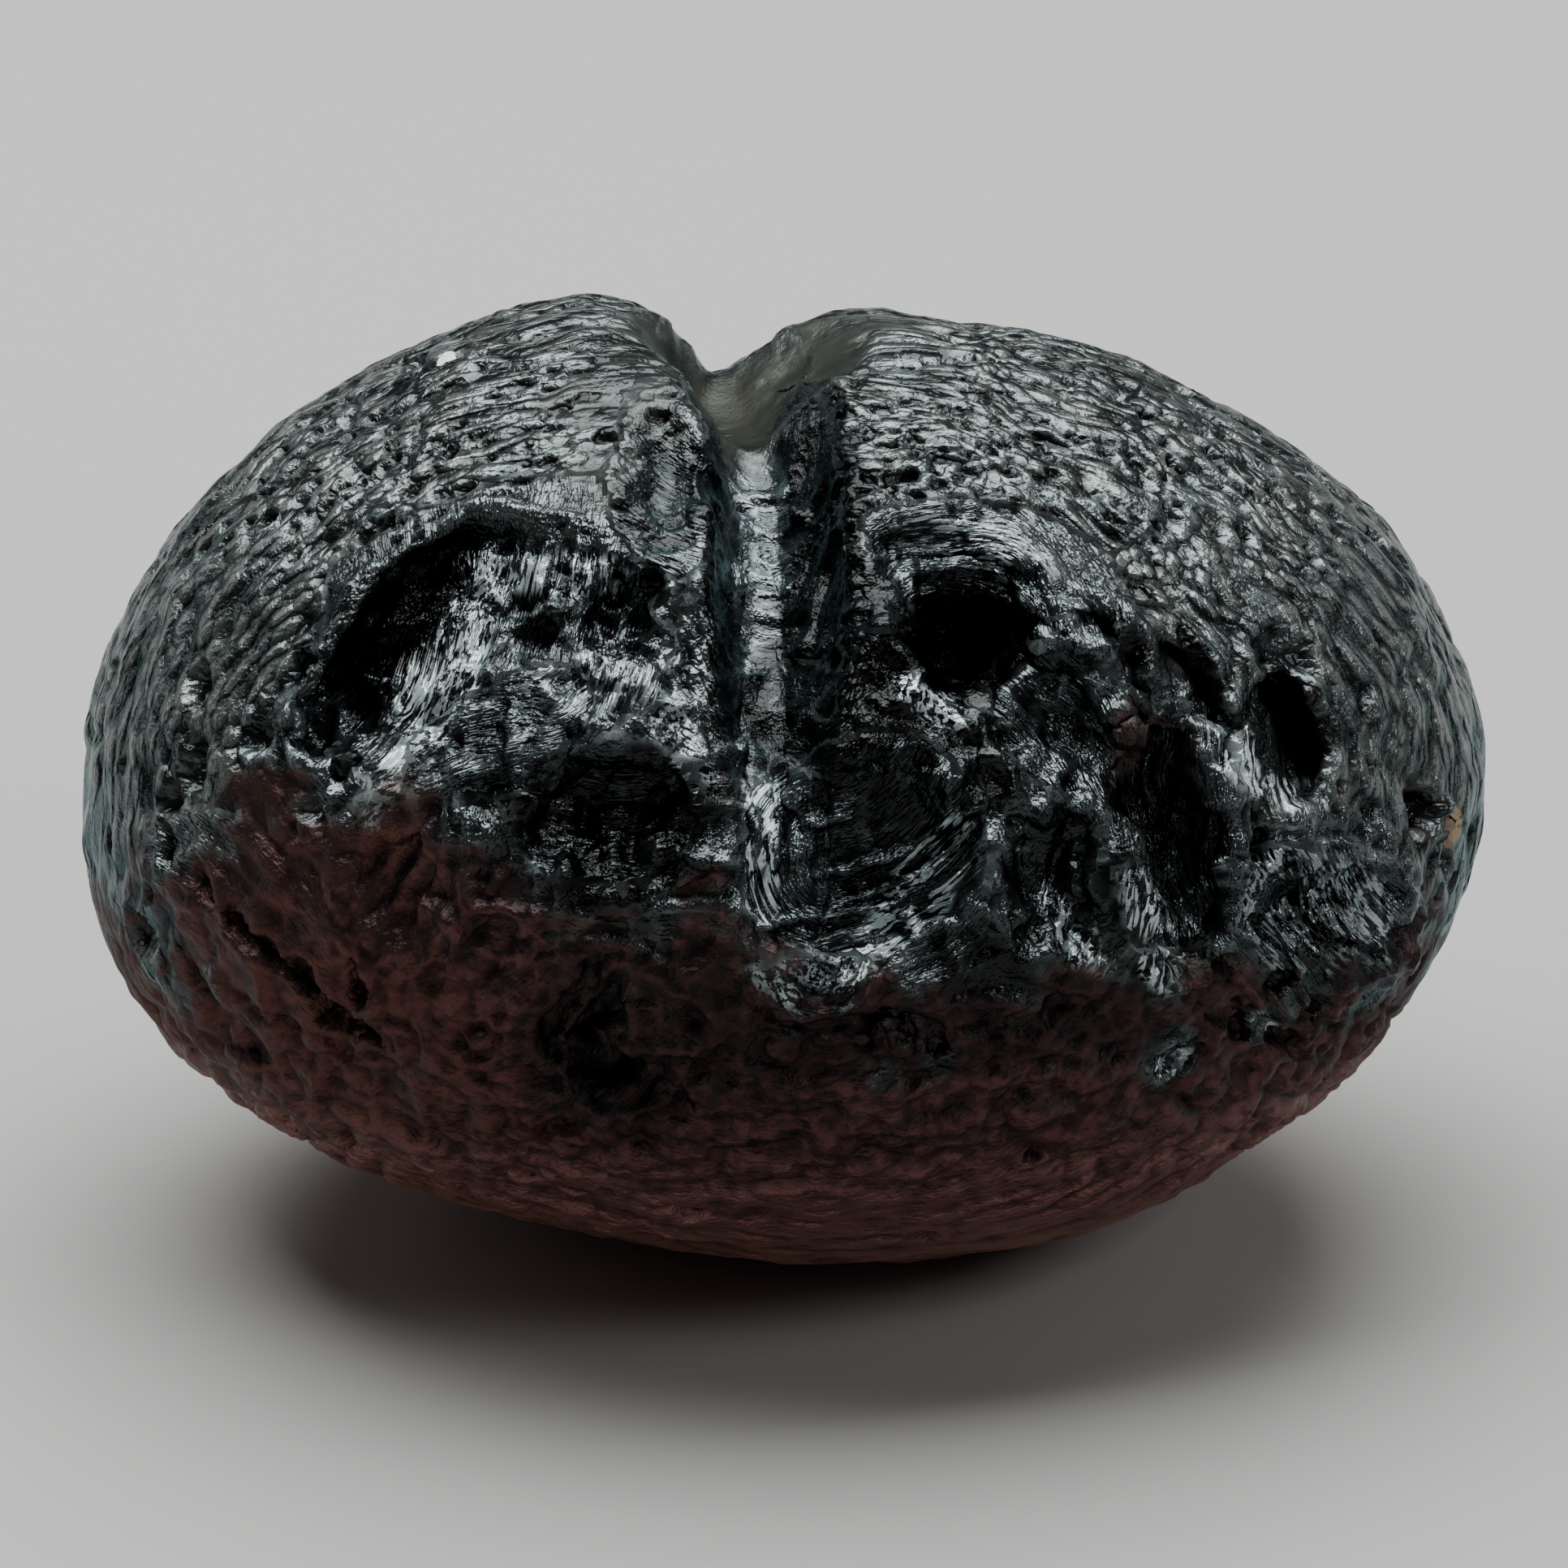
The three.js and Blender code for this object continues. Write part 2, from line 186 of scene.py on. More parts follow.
class Hollow:
    """An ellipsoid to take out of the glass.

    Proud lifts its middle over the skin, as a share of the depth. Lean shifts it along and
    aside for each mm out of the skin. Ragged shakes its edge, and rim is the radius that
    rounds it.
    """

    def __init__(self, u, v, width, length, deep, turn=0, proud=0.3, lean=(0, 0), ragged=0.2,
                 rim=0.3):
        self.point = on_face(u, v)
        self.axes = frame_at(self.point, turn)
        self.proud, self.deep = proud, deep
        widen = 1 / math.sqrt(1 - (proud / (1 + proud)) ** 2)
        self.half = np.array([length / 2 * widen, width / 2 * widen, deep * (1 + proud)])
        self.lean, self.ragged, self.rim = lean, ragged, rim
        self.reach = self.half.max() + REACH_MARGIN + deep

    def local(self, u, v, w):
        """Along, aside and out of the skin at the hollow's middle, with a ragged edge."""
        parts = (u - self.point[0], v - self.point[1], w - self.point[2])
        x, y, z = (sum(axis[k] * parts[k] for k in range(3)) for axis in self.axes)
        for length, share in RAGGED_LAYERS:
            x = x + share * self.ragged * cloud(u, v, w, length, 1)
            y = y + share * self.ragged * cloud(u, v, w, length, 2)
        return x + self.lean[0] * z, y + self.lean[1] * z, z

    def field(self, u, v, w):
        """Distance in from the hollow's wall, roughly: above nought inside the hollow."""
        x, y, z = self.local(u, v, w)
        z = z - self.deep * self.proud
        a, b, c = self.half
        near = np.sqrt((x / a) ** 2 + (y / b) ** 2 + (z / c) ** 2) + 1e-6
        slope = np.sqrt((x / a**2) ** 2 + (y / b**2) ** 2 + (z / c**2) ** 2) + 1e-6
        return near * (1 - near) / slope


print("reach of a round hollow 4 mm wide, mm:", round(Hollow(0, 0, 4, 4, 1).reach, 2))

# %% [markdown]
# ## Scoops
# The bowls aren't ellipsoids. Their floor leaves the skin gently on one side and runs down to a
# deep end under a lip on the other, as if a spoon had gone in. A scoop keeps a hollow's edge
# and changes its floor, so it is a class of its own that takes over the rest.

# %% A scoop
FLOOR_CURVE = 1.8    # past 1 the floor stays high at the tail and drops late


def rounded_max(a, b, radius):
    """The larger of two fields, with the edge between them rounded."""
    return np.maximum(a, b) + np.maximum(radius - np.abs(a - b), 0) ** 2 / (4 * radius)


class Scoop(Hollow):
    """A hollow whose floor slopes down from the skin on one side to under a lip on the other.

    The head is the direction of the deep end, in degrees from along. The floor leaves the
    skin at the tail and sags by a share of its depth across the way.
    """

    def __init__(self, *row, head=90, tail=0.0, sag=0.0, corner=0.8, **other):
        super().__init__(*row, **other)
        self.half = np.array([row[3] / 2, row[2] / 2, 1])
        self.reach = self.half.max() + REACH_MARGIN + self.deep
        way = math.radians(head)
        self.head = np.array([math.cos(way), math.sin(way)])
        self.tail, self.sag, self.corner = tail, sag, corner

    def field(self, u, v, w):
        x, y, z = self.local(u, v, w)
        a, b, _ = self.half
        near = np.sqrt((x / a) ** 2 + (y / b) ** 2) + 1e-6
        slope = np.sqrt((x / a**2) ** 2 + (y / b**2) ** 2) + 1e-6
        wall = near * (1 - near) / slope
        run = (x / a * self.head[0] + y / b * self.head[1]) * 0.5 + 0.5
        across = x / a * self.head[1] - y / b * self.head[0]
        floor = -self.tail - (self.deep - self.tail) * np.clip(run, 0, 1.1) ** FLOOR_CURVE
        floor = floor + self.sag * self.deep * across**2
        return -rounded_max(-wall, floor - z, self.corner)


print("an edge rounded by 0.3 mm is moved by", round(float(rounded_max(0, 0, 0.3)), 3), "mm")

# %% [markdown]
# ## The bowls and bubbles
# The face is broken by a wide bowl on each side of the groove's foot, a deep bubble with a hood
# on the right, a long one beyond it and smaller ones between. Each is one row of numbers, so
# a hollow is moved or turned by changing its row, and the others stay as they are.

# %% The hollows
# u, v, width, length, depth and turn, then what differs from a plain hollow
HOLLOWS = [
    # left bowl, deepest under its left lip
    Scoop(-9.7, 4.4, 9.9, 13.8, 3.6, 8, head=142, lean=(-0.55, 0.1), sag=0.1, ragged=0.45,
          rim=0.15, corner=0.6),
    # its rough right end
    Hollow(-5.6, 5.9, 4.6, 4.4, 1.5, 0, proud=0.4, ragged=0.5, rim=0.3),
    # hollow under the left bowl
    Hollow(-6.0, -0.9, 4.6, 5.8, 1.9, 14, proud=0.3, lean=(0, 0.2), ragged=0.6, rim=0.6),
    # middle bowl
    Hollow(2.8, -3.2, 9.4, 8.8, 2.1, 0, proud=0.4, lean=(0, 0.2), ragged=0.35, rim=0.4),
    # hood over the deep bubble, and the bubble
    Hollow(6.0, 7.3, 4.6, 7.6, 1.5, -14, proud=0.35, lean=(0, 0.2), ragged=0.45, rim=0.25),
    Hollow(6.2, 4.9, 5.6, 5.1, 4.8, 0, proud=0.05, lean=(0.1, 0.3), ragged=0.4, rim=0.25),
    # hollow on the lower right of the deep bubble
    Hollow(9.9, 2.0, 4.2, 7.4, 1.5, -46, proud=0.35, lean=(0.1, 0.3), ragged=0.5, rim=0.4),
    # long bubble
    Hollow(13.5, -2.6, 4.4, 9.4, 3.0, 99, proud=0.2, lean=(0.35, -0.25), ragged=0.4, rim=0.3),
    # bubble on the right shoulder
    Scoop(17.3, 1.5, 4.2, 5.2, 2.4, -60, head=95, lean=(0.0, 0.3), tail=-0.1, ragged=0.35,
          rim=0.2, corner=0.5),
    # pits below the right shoulder, open to the lower left
    Scoop(11.3, 4.7, 2.6, 3.6, 2.3, -60, head=95, lean=(0.0, 0.3), tail=-0.1, ragged=0.4,
          rim=0.2, corner=0.4),
    Scoop(14.1, 3.5, 2.4, 3.8, 2.0, -60, head=95, lean=(0.0, 0.3), tail=-0.1, ragged=0.4,
          rim=0.2, corner=0.4),
    # foot of the groove, left of the middle bowl
    Hollow(-0.2, -2.6, 3.2, 7.6, 1.4, 84, proud=0.6, ragged=0.15, rim=0.3),
    # between the middle bowl and the long bubble
    Hollow(9.6, -3.2, 5.0, 3.8, 1.4, 0, proud=0.5, ragged=0.5, rim=0.5),
]
print(len(HOLLOWS), "hollows")

# %% [markdown]
# ## The groove
# The two halves of the bean drew apart along one groove, wide down the face and narrow over
# the top. A route gives its place and depth round the stone. A section gives the height
# of its floor across the route. On the face it has steep walls, over the top its right wall is
# long and gentle, and down the back it is a plain valley that fades out.

# %% The groove's route and sections
# [angle from the face's crown, u of the floor, depth]
GROOVE_ROUTE = np.array([
    [-26, -0.1, -1.0], [-14, 0.1, 0.6], [4, -0.3, 2.6], [20, -0.4, 3.5], [36, -0.4, 3.8],
    [48, -0.7, 3.5], [59, -1.4, 3.1], [75, -2.2, 2.8], [92, -2.4, 2.9], [112, -2.7, 2.9],
    [134, -2.8, 2.2], [156, -2.4, 0.9], [172, -2.2, -0.6],
])
# [across, height of the floor]
FACE_SECTION = np.array([
    [-2.8, 6.4], [-2.3, 4.4], [-2.0, 2.4], [-1.7, 1.1], [-1.3, 0.35], [-0.7, 0.05], [0.0, 0.0],
    [0.5, 0.15], [1.0, 0.6], [1.6, 1.2], [2.2, 2.0], [2.6, 2.9], [2.9, 4.2], [3.2, 6.4],
])
TOP_SECTION = np.array([
    [-6.0, 5.4], [-4.4, 3.7], [-3.4, 3.0], [-2.5, 2.6], [-1.9, 2.1], [-1.35, 1.4], [-0.8, 0.6],
    [-0.35, 0.12], [0.0, 0.0], [0.5, 0.2], [1.4, 1.1], [2.6, 1.95], [4.2, 2.7], [5.6, 3.5],
    [8.0, 5.4],
])
BACK_SECTION = np.array([
    [-5.0, 5.4], [-3.2, 2.9], [-2.1, 1.4], [-1.3, 0.55], [-0.6, 0.12], [0.0, 0.0], [0.7, 0.12],
    [1.5, 0.5], [2.4, 1.3], [3.8, 2.8], [6.0, 5.4],
])
# angles over which one section gives way to the next, and the groove's edge softens
FACE_TO_TOP, TOP_TO_BACK, EDGE_SOFTENS = (46, 66), (84, 112), (40, 60)
print("the groove is", GROOVE_ROUTE[:, 2].max(), "mm deep at most")

# %% [markdown]
# ## Cutting the groove
# The route and the sections give the floor's height at any place round the stone. Near a steep
# wall the height is more than the distance, so it is divided by the slope, and the field stays
# even enough for the next step. Where it meets the skin, the edge is crisp on the face and
# rounded beyond.

# %% Cut the groove
def groove_place(u, v, w):
    """Angle round the stone, and the distance across from the groove's floor."""
    angle = np.degrees(np.arctan2(v, w))
    return angle, u - np.interp(angle, GROOVE_ROUTE[:, 0], GROOVE_ROUTE[:, 1])


def cut_groove(field, skin, u, v, w):
    """Takes the groove out of a field. Its edges are crisp on the face and rounded beyond."""
    angle, x = groove_place(u, v, w)
    x = x + 0.20 * cloud(u, v, w, 2.2, 3) + 0.08 * cloud(u, v, w, 0.9, 4)
    on_top, on_back = soft_step(*FACE_TO_TOP, angle), soft_step(*TOP_TO_BACK, angle)
    deep = np.interp(angle, GROOVE_ROUTE[:, 0], GROOVE_ROUTE[:, 2], left=-3, right=-3)

    def floor_height(x):
        sections = (FACE_SECTION, TOP_SECTION, BACK_SECTION)
        face, top, back = (np.interp(x, *section.T) for section in sections)
        front = face + (top - face) * on_top
        return front + (back - front) * on_back

    floor = floor_height(x)
    slope = (floor_height(x + 0.1) - floor) / 0.1
    rim = 0.2 + 1.2 * soft_step(*EDGE_SOFTENS, angle)
    return rounded_max(field, (skin + deep - floor) / np.sqrt(1 + slope**2), rim)


def glass_field(u, v, w):
    """The whole field at loose points: below nought inside the glass."""
    length = np.sqrt(u**2 + v**2 + w**2)
    skin = length * (1 - 1 / skin_share(u, v, w))
    field = cut_groove(skin, skin, u, v, w)
    for hollow in HOLLOWS:
        near = np.flatnonzero(
            (u - hollow.point[0]) ** 2 + (v - hollow.point[1]) ** 2 + (w - hollow.point[2]) ** 2
            < hollow.reach**2
        )
        cut = hollow.field(u[near], v[near], w[near])
        field[near] = rounded_max(field[near], cut, hollow.rim)
    return field


print("field 1 mm over the face:", glass_field(*(on_face(9, 9) + (0, 0, 1))[:, None]).round(2))

# %% [markdown]
# ## From field to skin
# The field is worked out on a lattice that is fine at the face and widens towards the back,
# where the relief is broad. Each cell that the surface crosses gets one corner, and each
# lattice edge that it crosses gets one face: the method is called surface nets, and it makes
# even four-sided faces. Each corner is then moved onto the true surface.

# %% Lattice
STEP = 0.16
GROWTH = 0.021          # how much the spacing grows for each mm behind the face
FINE_DEPTH = 19         # w where the spacing is one step
LATTICE_REACH = 19.4    # w of the first layer, and of the last one behind the stone
LAYER_STEP = 1.1        # spacing of the layers, in steps
GROOVE_BAND = 9         # half the width, about u = -1, that the groove can change


def layer_scale(w):
    """How much wider the lattice is at depth w than at the face."""
    return 1 + GROWTH * (FINE_DEPTH - w)


layers = [LATTICE_REACH]
while layers[-1] > -LATTICE_REACH:
    layers.append(layers[-1] - LAYER_STEP * STEP * layer_scale(layers[-1]))
layers = np.array(layers[::-1])
spread = layer_scale(layers)
# the stone is 26 mm wide from its middle at w = 8 or behind, and 20 mm high at w = 10
half_u, half_v = 26.0 / layer_scale(8), 20.0 / layer_scale(10)
grid_u = np.arange(-half_u, half_u, STEP)
grid_v = np.arange(-half_v, half_v, STEP)
flat_u, flat_v = np.meshgrid(grid_u, grid_v, indexing="ij")
flat_reach = np.hypot(flat_u, flat_v)
flat_share = flat_reach / outline_radius(np.arctan2(flat_v, flat_u))

lattice = np.empty((len(layers), len(grid_u), len(grid_v)), np.float32)
for k, (w, scale) in enumerate(zip(layers, spread)):
    u, v = flat_u * scale, flat_v * scale
    share = np.hypot(flat_share * scale, (w - SHEAR * v) / REACH) + 1e-6
    skin = np.hypot(flat_reach * scale, w) * (1 - 1 / share)
    field = skin.copy()
    rows = np.flatnonzero((np.abs(u + 1) < GROOVE_BAND).any(axis=1))
    part = slice(rows[0], rows[-1] + 1)
    field[part] = cut_groove(field[part], skin[part], u[part], v[part], w)
    for hollow in HOLLOWS:
        if abs(w - hollow.point[2]) < hollow.reach:
            ends = hollow.reach * np.array([-1, 1])
            box = tuple(
                slice(*np.searchsorted(grid * scale, middle + ends))
                for grid, middle in ((grid_u, hollow.point[0]), (grid_v, hollow.point[1]))
            )
            field[box] = rounded_max(field[box], hollow.field(u[box], v[box], w), hollow.rim)
    lattice[k] = field
print("lattice of", lattice.size, "points")

# %% [markdown]
# ## Surface nets
# A cell is crossed when some of its eight corners are inside the glass and some aren't. Its
# own corner is the mean of the places where the surface cuts the cell's edges. An edge of the
# lattice with one end inside is ringed by four cells, and their corners make one face, turned
# so that it points out of the glass.

# %% Surface nets
def surface_nets(field, scale, w_of):
    """Corners in u, v, w and four-sided faces of the surface where the field is nought."""
    inside = field < 0
    shape = field.shape
    count = np.zeros(tuple(n - 1 for n in shape), np.int8)
    for a, b, c in CORNERS:
        count += inside[a:shape[0] - 1 + a, b:shape[1] - 1 + b, c:shape[2] - 1 + c]
    crossed = (count > 0) & (count < 8)
    cells = np.argwhere(crossed)
    number = np.full(crossed.shape, -1, np.int32)
    number[crossed] = np.arange(len(cells))
    values = {
        (a, b, c): field[cells[:, 0] + a, cells[:, 1] + b, cells[:, 2] + c].astype(float)
        for a, b, c in CORNERS
    }
    total = np.zeros((len(cells), 3))
    hits = np.zeros(len(cells))
    for first in CORNERS:
        for axis in range(3):
            if first[axis]:
                continue
            second = tuple(1 if k == axis else first[k] for k in range(3))
            f0, f1 = values[first], values[second]
            cut = (f0 < 0) != (f1 < 0)
            t = np.where(cut, f0 / np.where(cut, f0 - f1, 1), 0)
            place = np.array(first, float)[None, :].repeat(len(cells), 0)
            place[:, axis] = t
            total += place * cut[:, None]
            hits += cut
    place = cells + total / hits[:, None]
    layer = place[:, 0]
    low = np.clip(np.floor(layer).astype(int), 0, len(w_of) - 2)
    part = layer - low
    w = w_of[low] * (1 - part) + w_of[low + 1] * part
    widen = scale[low] * (1 - part) + scale[low + 1] * part
    u = (grid_u[0] + STEP * place[:, 1]) * widen
    v = (grid_v[0] + STEP * place[:, 2]) * widen
    faces = []
    for axis in range(3):
        other = [k for k in range(3) if k != axis]
        lower, upper = [slice(None)] * 3, [slice(None)] * 3
        lower[axis], upper[axis] = slice(0, -1), slice(1, None)
        flips = inside[tuple(lower)] != inside[tuple(upper)]
        edges = np.argwhere(flips)
        starts_inside = inside[tuple(edges.T)]
        around = []
        for back in ((1, 1), (0, 1), (0, 0), (1, 0)):
            cell = edges.copy()
            cell[:, other[0]] -= back[0]
            cell[:, other[1]] -= back[1]
            around.append(number[tuple(cell.T)])
        quad = np.stack(around, axis=1)
        if axis != 1:
            starts_inside = ~starts_inside
        quad[starts_inside] = quad[starts_inside][:, ::-1]
        faces.append(quad)
    return np.stack([u, v, w], axis=1), np.concatenate(faces)


print("cells along w, u and v:", tuple(n - 1 for n in lattice.shape))

# %% [markdown]
# ## Clean corners
# Where two inside corners of a lattice square meet only at a diagonal, four faces would share
# one edge, which no real skin does. The square is filled first. The corners that come out lie
# near the surface but not on it, so two Newton steps slide them along the field's slope.

# %% From lattice to corners
FILLED = -0.01       # what a filled lattice point holds: just inside the glass
SIDE_STEP = 0.02     # distance over which the field's slope is measured, mm
LEAST_SLOPE = 0.3    # a flatter field is taken to be this steep


def part_checkers(field):
    """Fills lattice squares whose inside corners only meet at a diagonal."""
    for _ in range(3):
        found = 0
        for first, second in ((0, 1), (0, 2), (1, 2)):
            views = []
            for a, b in ((0, 0), (1, 1), (0, 1), (1, 0)):
                cut = [slice(None)] * 3
                cut[first] = slice(a, field.shape[first] - 1 + a)
                cut[second] = slice(b, field.shape[second] - 1 + b)
                views.append(field[tuple(cut)])
            one, two, three, four = (view < 0 for view in views)
            checker = (one & two & ~three & ~four) | (~one & ~two & three & four)
            found += int(checker.sum())
            for view in views:
                view[checker & (view >= 0)] = FILLED
        print(found, "checkered squares filled")
        if not found:
            break


part_checkers(lattice)
corners, faces = surface_nets(lattice, spread, layers)
for _ in range(2):
    here = glass_field(*corners.T)
    slope = np.stack([
        (glass_field(*(corners + side).T) - here) / SIDE_STEP for side in SIDE_STEP * np.eye(3)
    ], axis=1)
    move = -here[:, None] * slope / np.maximum((slope**2).sum(1), LEAST_SLOPE)[:, None]
    long = np.maximum(np.linalg.norm(move, axis=1) / (0.5 * STEP), 1)
    corners = corners + move / long[:, None]
print(len(corners), "corners,", len(faces), "faces")

# %% [markdown]
# ## Relief that is pushed in and out
# Everything shallower than the hollows is relief: each corner moves along its own normal.
# Rows of numbers are read as on a map of the face, and each becomes a dish, a pit or a ridge
# in the skin's own directions at that place. Three layers are pushed one after the other, so
# that small marks follow the larger ones under them. A class keeps the corners, their faces
# and the height that has gathered.

# %% Relief tools
DISH_MARGIN = 3.2    # the skin under a dish may have been pushed this far already, mm


class Skin:
    """The stone's corners, which are pushed along their normals layer by layer."""

    def __init__(self, points, quads):
        self.points, self.quads = points, quads
        self.height = np.zeros(len(points))
        self.turn_normals()

    def turn_normals(self):
        one, two, three, four = (self.points[self.quads[:, k]] for k in range(4))
        across = np.cross(three - one, four - two)
        total = np.zeros_like(self.points)
        for k in range(4):
            for axis in range(3):
                total[:, axis] += np.bincount(self.quads[:, k], across[:, axis], len(total))
        self.normals = total / (np.linalg.norm(total, axis=1)[:, None] + 1e-12)

    def push(self):
        """Moves every corner by the height that has gathered, and starts the next layer."""
        self.points = self.points + self.normals * self.height[:, None]
        self.height = np.zeros(len(self.points))
        self.turn_normals()

    def near(self, point, turn, reach):
        """The corners near a point of the plain skin, with their places along and aside."""
        away = self.points - point
        found = np.flatnonzero((away**2).sum(1) < reach**2)
        x, y, _ = (away[found] @ axis for axis in frame_at(point, turn))
        return found, x, y

    def dish(self, row, sharpness=1.3, ragged=0.0, point=None, gather=None):
        """Presses a dish in: rows are [u, v, width, length, depth, turn]."""
        u, v, width, length, deep, turn = row
        point = on_face(u, v) if point is None else point
        found, x, y = self.near(point, turn, max(width, length) / 2 + DISH_MARGIN)
        if ragged:
            place = self.points[found].T
            x = x + ragged * cloud(*place, 0.9, 5)
            y = y + ragged * cloud(*place, 0.9, 6)
        inside = np.maximum(0, 1 - (2 * x / length) ** 2 - (2 * y / width) ** 2)
        if gather is None:
            self.height[found] -= deep * inside**sharpness
        else:
            gather[found] = np.maximum(gather[found], deep * inside**sharpness)


skin = Skin(corners, faces)
outwards = (skin.normals * skin.points).sum(1) > 0
print("share of corners that face outwards:", round(float(outwards.mean()), 3))

# %% [markdown]
# ## Broad dents and ridges
# The first layer is what a hand would feel: the pinched shoulders of the groove, low ridges
# between the hollows, shallow hollows on the back, and lips where the hot glass curled up
# round a hollow. Dents that overlap aren't added up. The deepest wins, so that none digs a
# hole in another.

# %% Broad dents, ridges and back
# [u, v, width, length, depth, turn]
BROAD_DENTS = [
    [-1.1, 16.4, 8.8, 9.0, 1.3, 0],      # the groove's shoulders, at the top
    [-4.1, 10.6, 8.0, 3.6, 1.1, 8],      # scoop on the left of the groove
    [17.4, 4.4, 2.4, 3.4, 0.8, -10],
    [13.0, 2.5, 2.6, 3.6, 1.0, -30],
    [-13.5, -3.2, 5.4, 5.0, 0.8, 0],
    [-7.0, -8.3, 5.8, 2.8, 1.3, -32],
    [-5.6, -10.4, 2.8, 4.8, 1.1, 6],
    [17.9, -4.0, 3.8, 5.0, 0.9, -20],
]
BROAD_RIDGES = [
    [11.2, 4.2, 1.6, 5.4, 0.6, -42],
    [11.6, -3.4, 6.4, 1.6, 0.5, 8],
    [-1.4, -0.6, 5.0, 1.6, 0.4, 0],
    [2.2, -8.6, 1.4, 5.0, 0.5, 0],
    [-12.6, -0.6, 1.6, 6.0, 0.5, 28],
]
# [angle round the stone, u, width, length, depth, turn]
BACK_HOLLOWS = [
    [168, 11.5, 7.4, 10.5, 1.9, -20],
    [196, -7.0, 7.0, 8.6, 1.7, 16],
    [148, -12.5, 4.8, 6.4, 1.4, 30],
    [214, 9.5, 4.0, 5.0, 1.3, 0],
    [176, 1.5, 5.0, 4.0, 1.3, 12],
    [128, 13.5, 3.4, 4.6, 0.9, -30],
    [222, -14.5, 3.8, 4.8, 1.0, 24],
    [182, -17.5, 3.6, 4.0, 1.0, 0],
    [190, 19.0, 3.4, 3.8, 0.9, 0],
]
LIP_AWAY, LIP_WIDTH, LIP_HEIGHT = 0.45, 0.25, 0.26    # from a hollow's edge, in mm
SWELLS = [[0.12, 6.0, 7], [0.06, 3.0, 8]]             # [height, length, seed] of the noise
pressed, raised, lips = np.zeros((3, len(skin.points)))
u, v, w = skin.points.T
for hollow in HOLLOWS:
    from_lip = (hollow.field(u, v, w) + LIP_AWAY) / LIP_WIDTH
    lips = np.maximum(lips, np.exp(-(from_lip**2)))
raised += LIP_HEIGHT * lips * soft_step(-0.6, 0.4, cloud(u, v, w, 1.4, 9))
for row in BROAD_DENTS:
    skin.dish(row, gather=pressed)
for row in BROAD_RIDGES:
    skin.dish(row, gather=raised)
for angle, u, width, length, deep, turn in BACK_HOLLOWS:
    skin.dish([0, 0, width, length, deep, turn], point=round_stone(u, angle), gather=pressed)
skin.height += raised - pressed
skin.height += clouds(*skin.points.T, SWELLS)
skin.push()
print("pressed in by up to", pressed.max().round(2), "mm, raised by up to", raised.max().round(2))

# %% [markdown]
# ## Flow lines
# The glass flowed while it froze, so its layers show as fine parallel lines, like wood grain.
# Each region has its own flow: rings round a centre in the bowls, hoops across the groove,
# and lines along the rim elsewhere. One number says how far a corner lies across the flow,
# and one says how strongly the lines show. Broad folds come from them here, and the finest
# lines come from the same numbers in the material.

# %% The regions of the flow
# [u, v, width, length, turn, u and v of the rings' centre, strength]
FLOWS = [
    [-13.6, -3.6, 6.4, 10.0, 20, -30.0, 6.0, 0.7],       # stained patch
    [-18.2, -5.0, 5.0, 11.0, -46, -29.0, -15.0, 0.8],    # along the crack
    [-7.0, -8.6, 7.6, 8.0, 0, -14.5, -2.0, 0.8],         # arch near the underside
    [-6.0, -0.9, 5.2, 6.6, 10, -6.0, 9.4, 0.5],          # hollow under the left bowl
    [-10.2, 5.0, 10.4, 13.6, 26, -22.0, 9.0, 1.0],       # curtain in the left bowl
    [-9.8, 1.8, 3.4, 7.0, 26, -12.5, 12.0, 1.0],         # arcs at the bowl's lower lip
    [-4.1, 10.4, 7.6, 3.8, 8, -2.0, 13.4, 0.9],          # scoop beside the groove
    [7.6, 7.0, 5.2, 9.6, -26, 5.6, 4.0, 1.0],            # hood over the deep bubble
    [10.2, 1.7, 4.6, 8.0, -46, 2.0, -4.0, 0.9],          # hollow on its lower right
    [3.0, -3.4, 9.6, 8.8, 0, -0.5, 4.5, 1.0],            # middle bowl
    [0.1, -2.6, 6.4, 3.4, 0, 1.7, -2.4, 1.0],            # rings on its left
    [1.2, -7.2, 2.6, 5.0, 0, 1.2, -6.2, 1.0],            # its lower lip
    [13.6, -1.8, 8.6, 4.8, 0, -4.0, -3.0, 0.9],          # long bubble
    [18.6, -5.2, 6.6, 8.0, 0, 44.0, 14.0, 0.9],          # torn glass on its right
]
FLOW_STRETCH = 5.0    # how far the lines are drawn out
RIM_REACH = 20.0      # turns an angle round the rim into mm
TIP_REACH = 18.0      # turns an angle from the crown into mm
NEXT_REGION = 40      # keeps the regions' lines apart, mm
FRONT = (2, 5)        # w over which the marks of the face begin
print(len(FLOWS), "regions of flow")

# %% [markdown]
# ## The smooth saddle
# Where the groove goes over the top the two halves pulled apart last, and the glass is smooth
# and a little brown. Two spots and the scoop beside the groove say where, with noise on their
# distance so that they have no drawn edge.

# %% The saddle
# [middle, reach, full within, strength]
SMOOTH_SPOTS = [
    [(-1.0, 14.0, 3.6), 6.8, 2.6, 1.0],       # the saddle
    [(-4.8, 14.0, 9.6), 4.4, 2.0, 0.6],       # beside it
    [on_face(-4.4, 10.2), 3.2, 1.6, 0.45],    # scoop on the left of the groove
]


def measure_saddle(points):
    """1 on the smooth saddle between the two halves of the bean, and less on its left."""
    shake = clouds(*points.T, [[1.1, 2.2, 42], [0.6, 0.9, 43]])
    smoothest = 0
    for middle, reach, full, strength in SMOOTH_SPOTS:
        away = np.linalg.norm(points - middle, axis=1) + shake
        smoothest = np.maximum(smoothest, strength * soft_step(reach, full, away))
    return smoothest


print("smooth corners:", int((measure_saddle(skin.points) > 0.5).sum()))

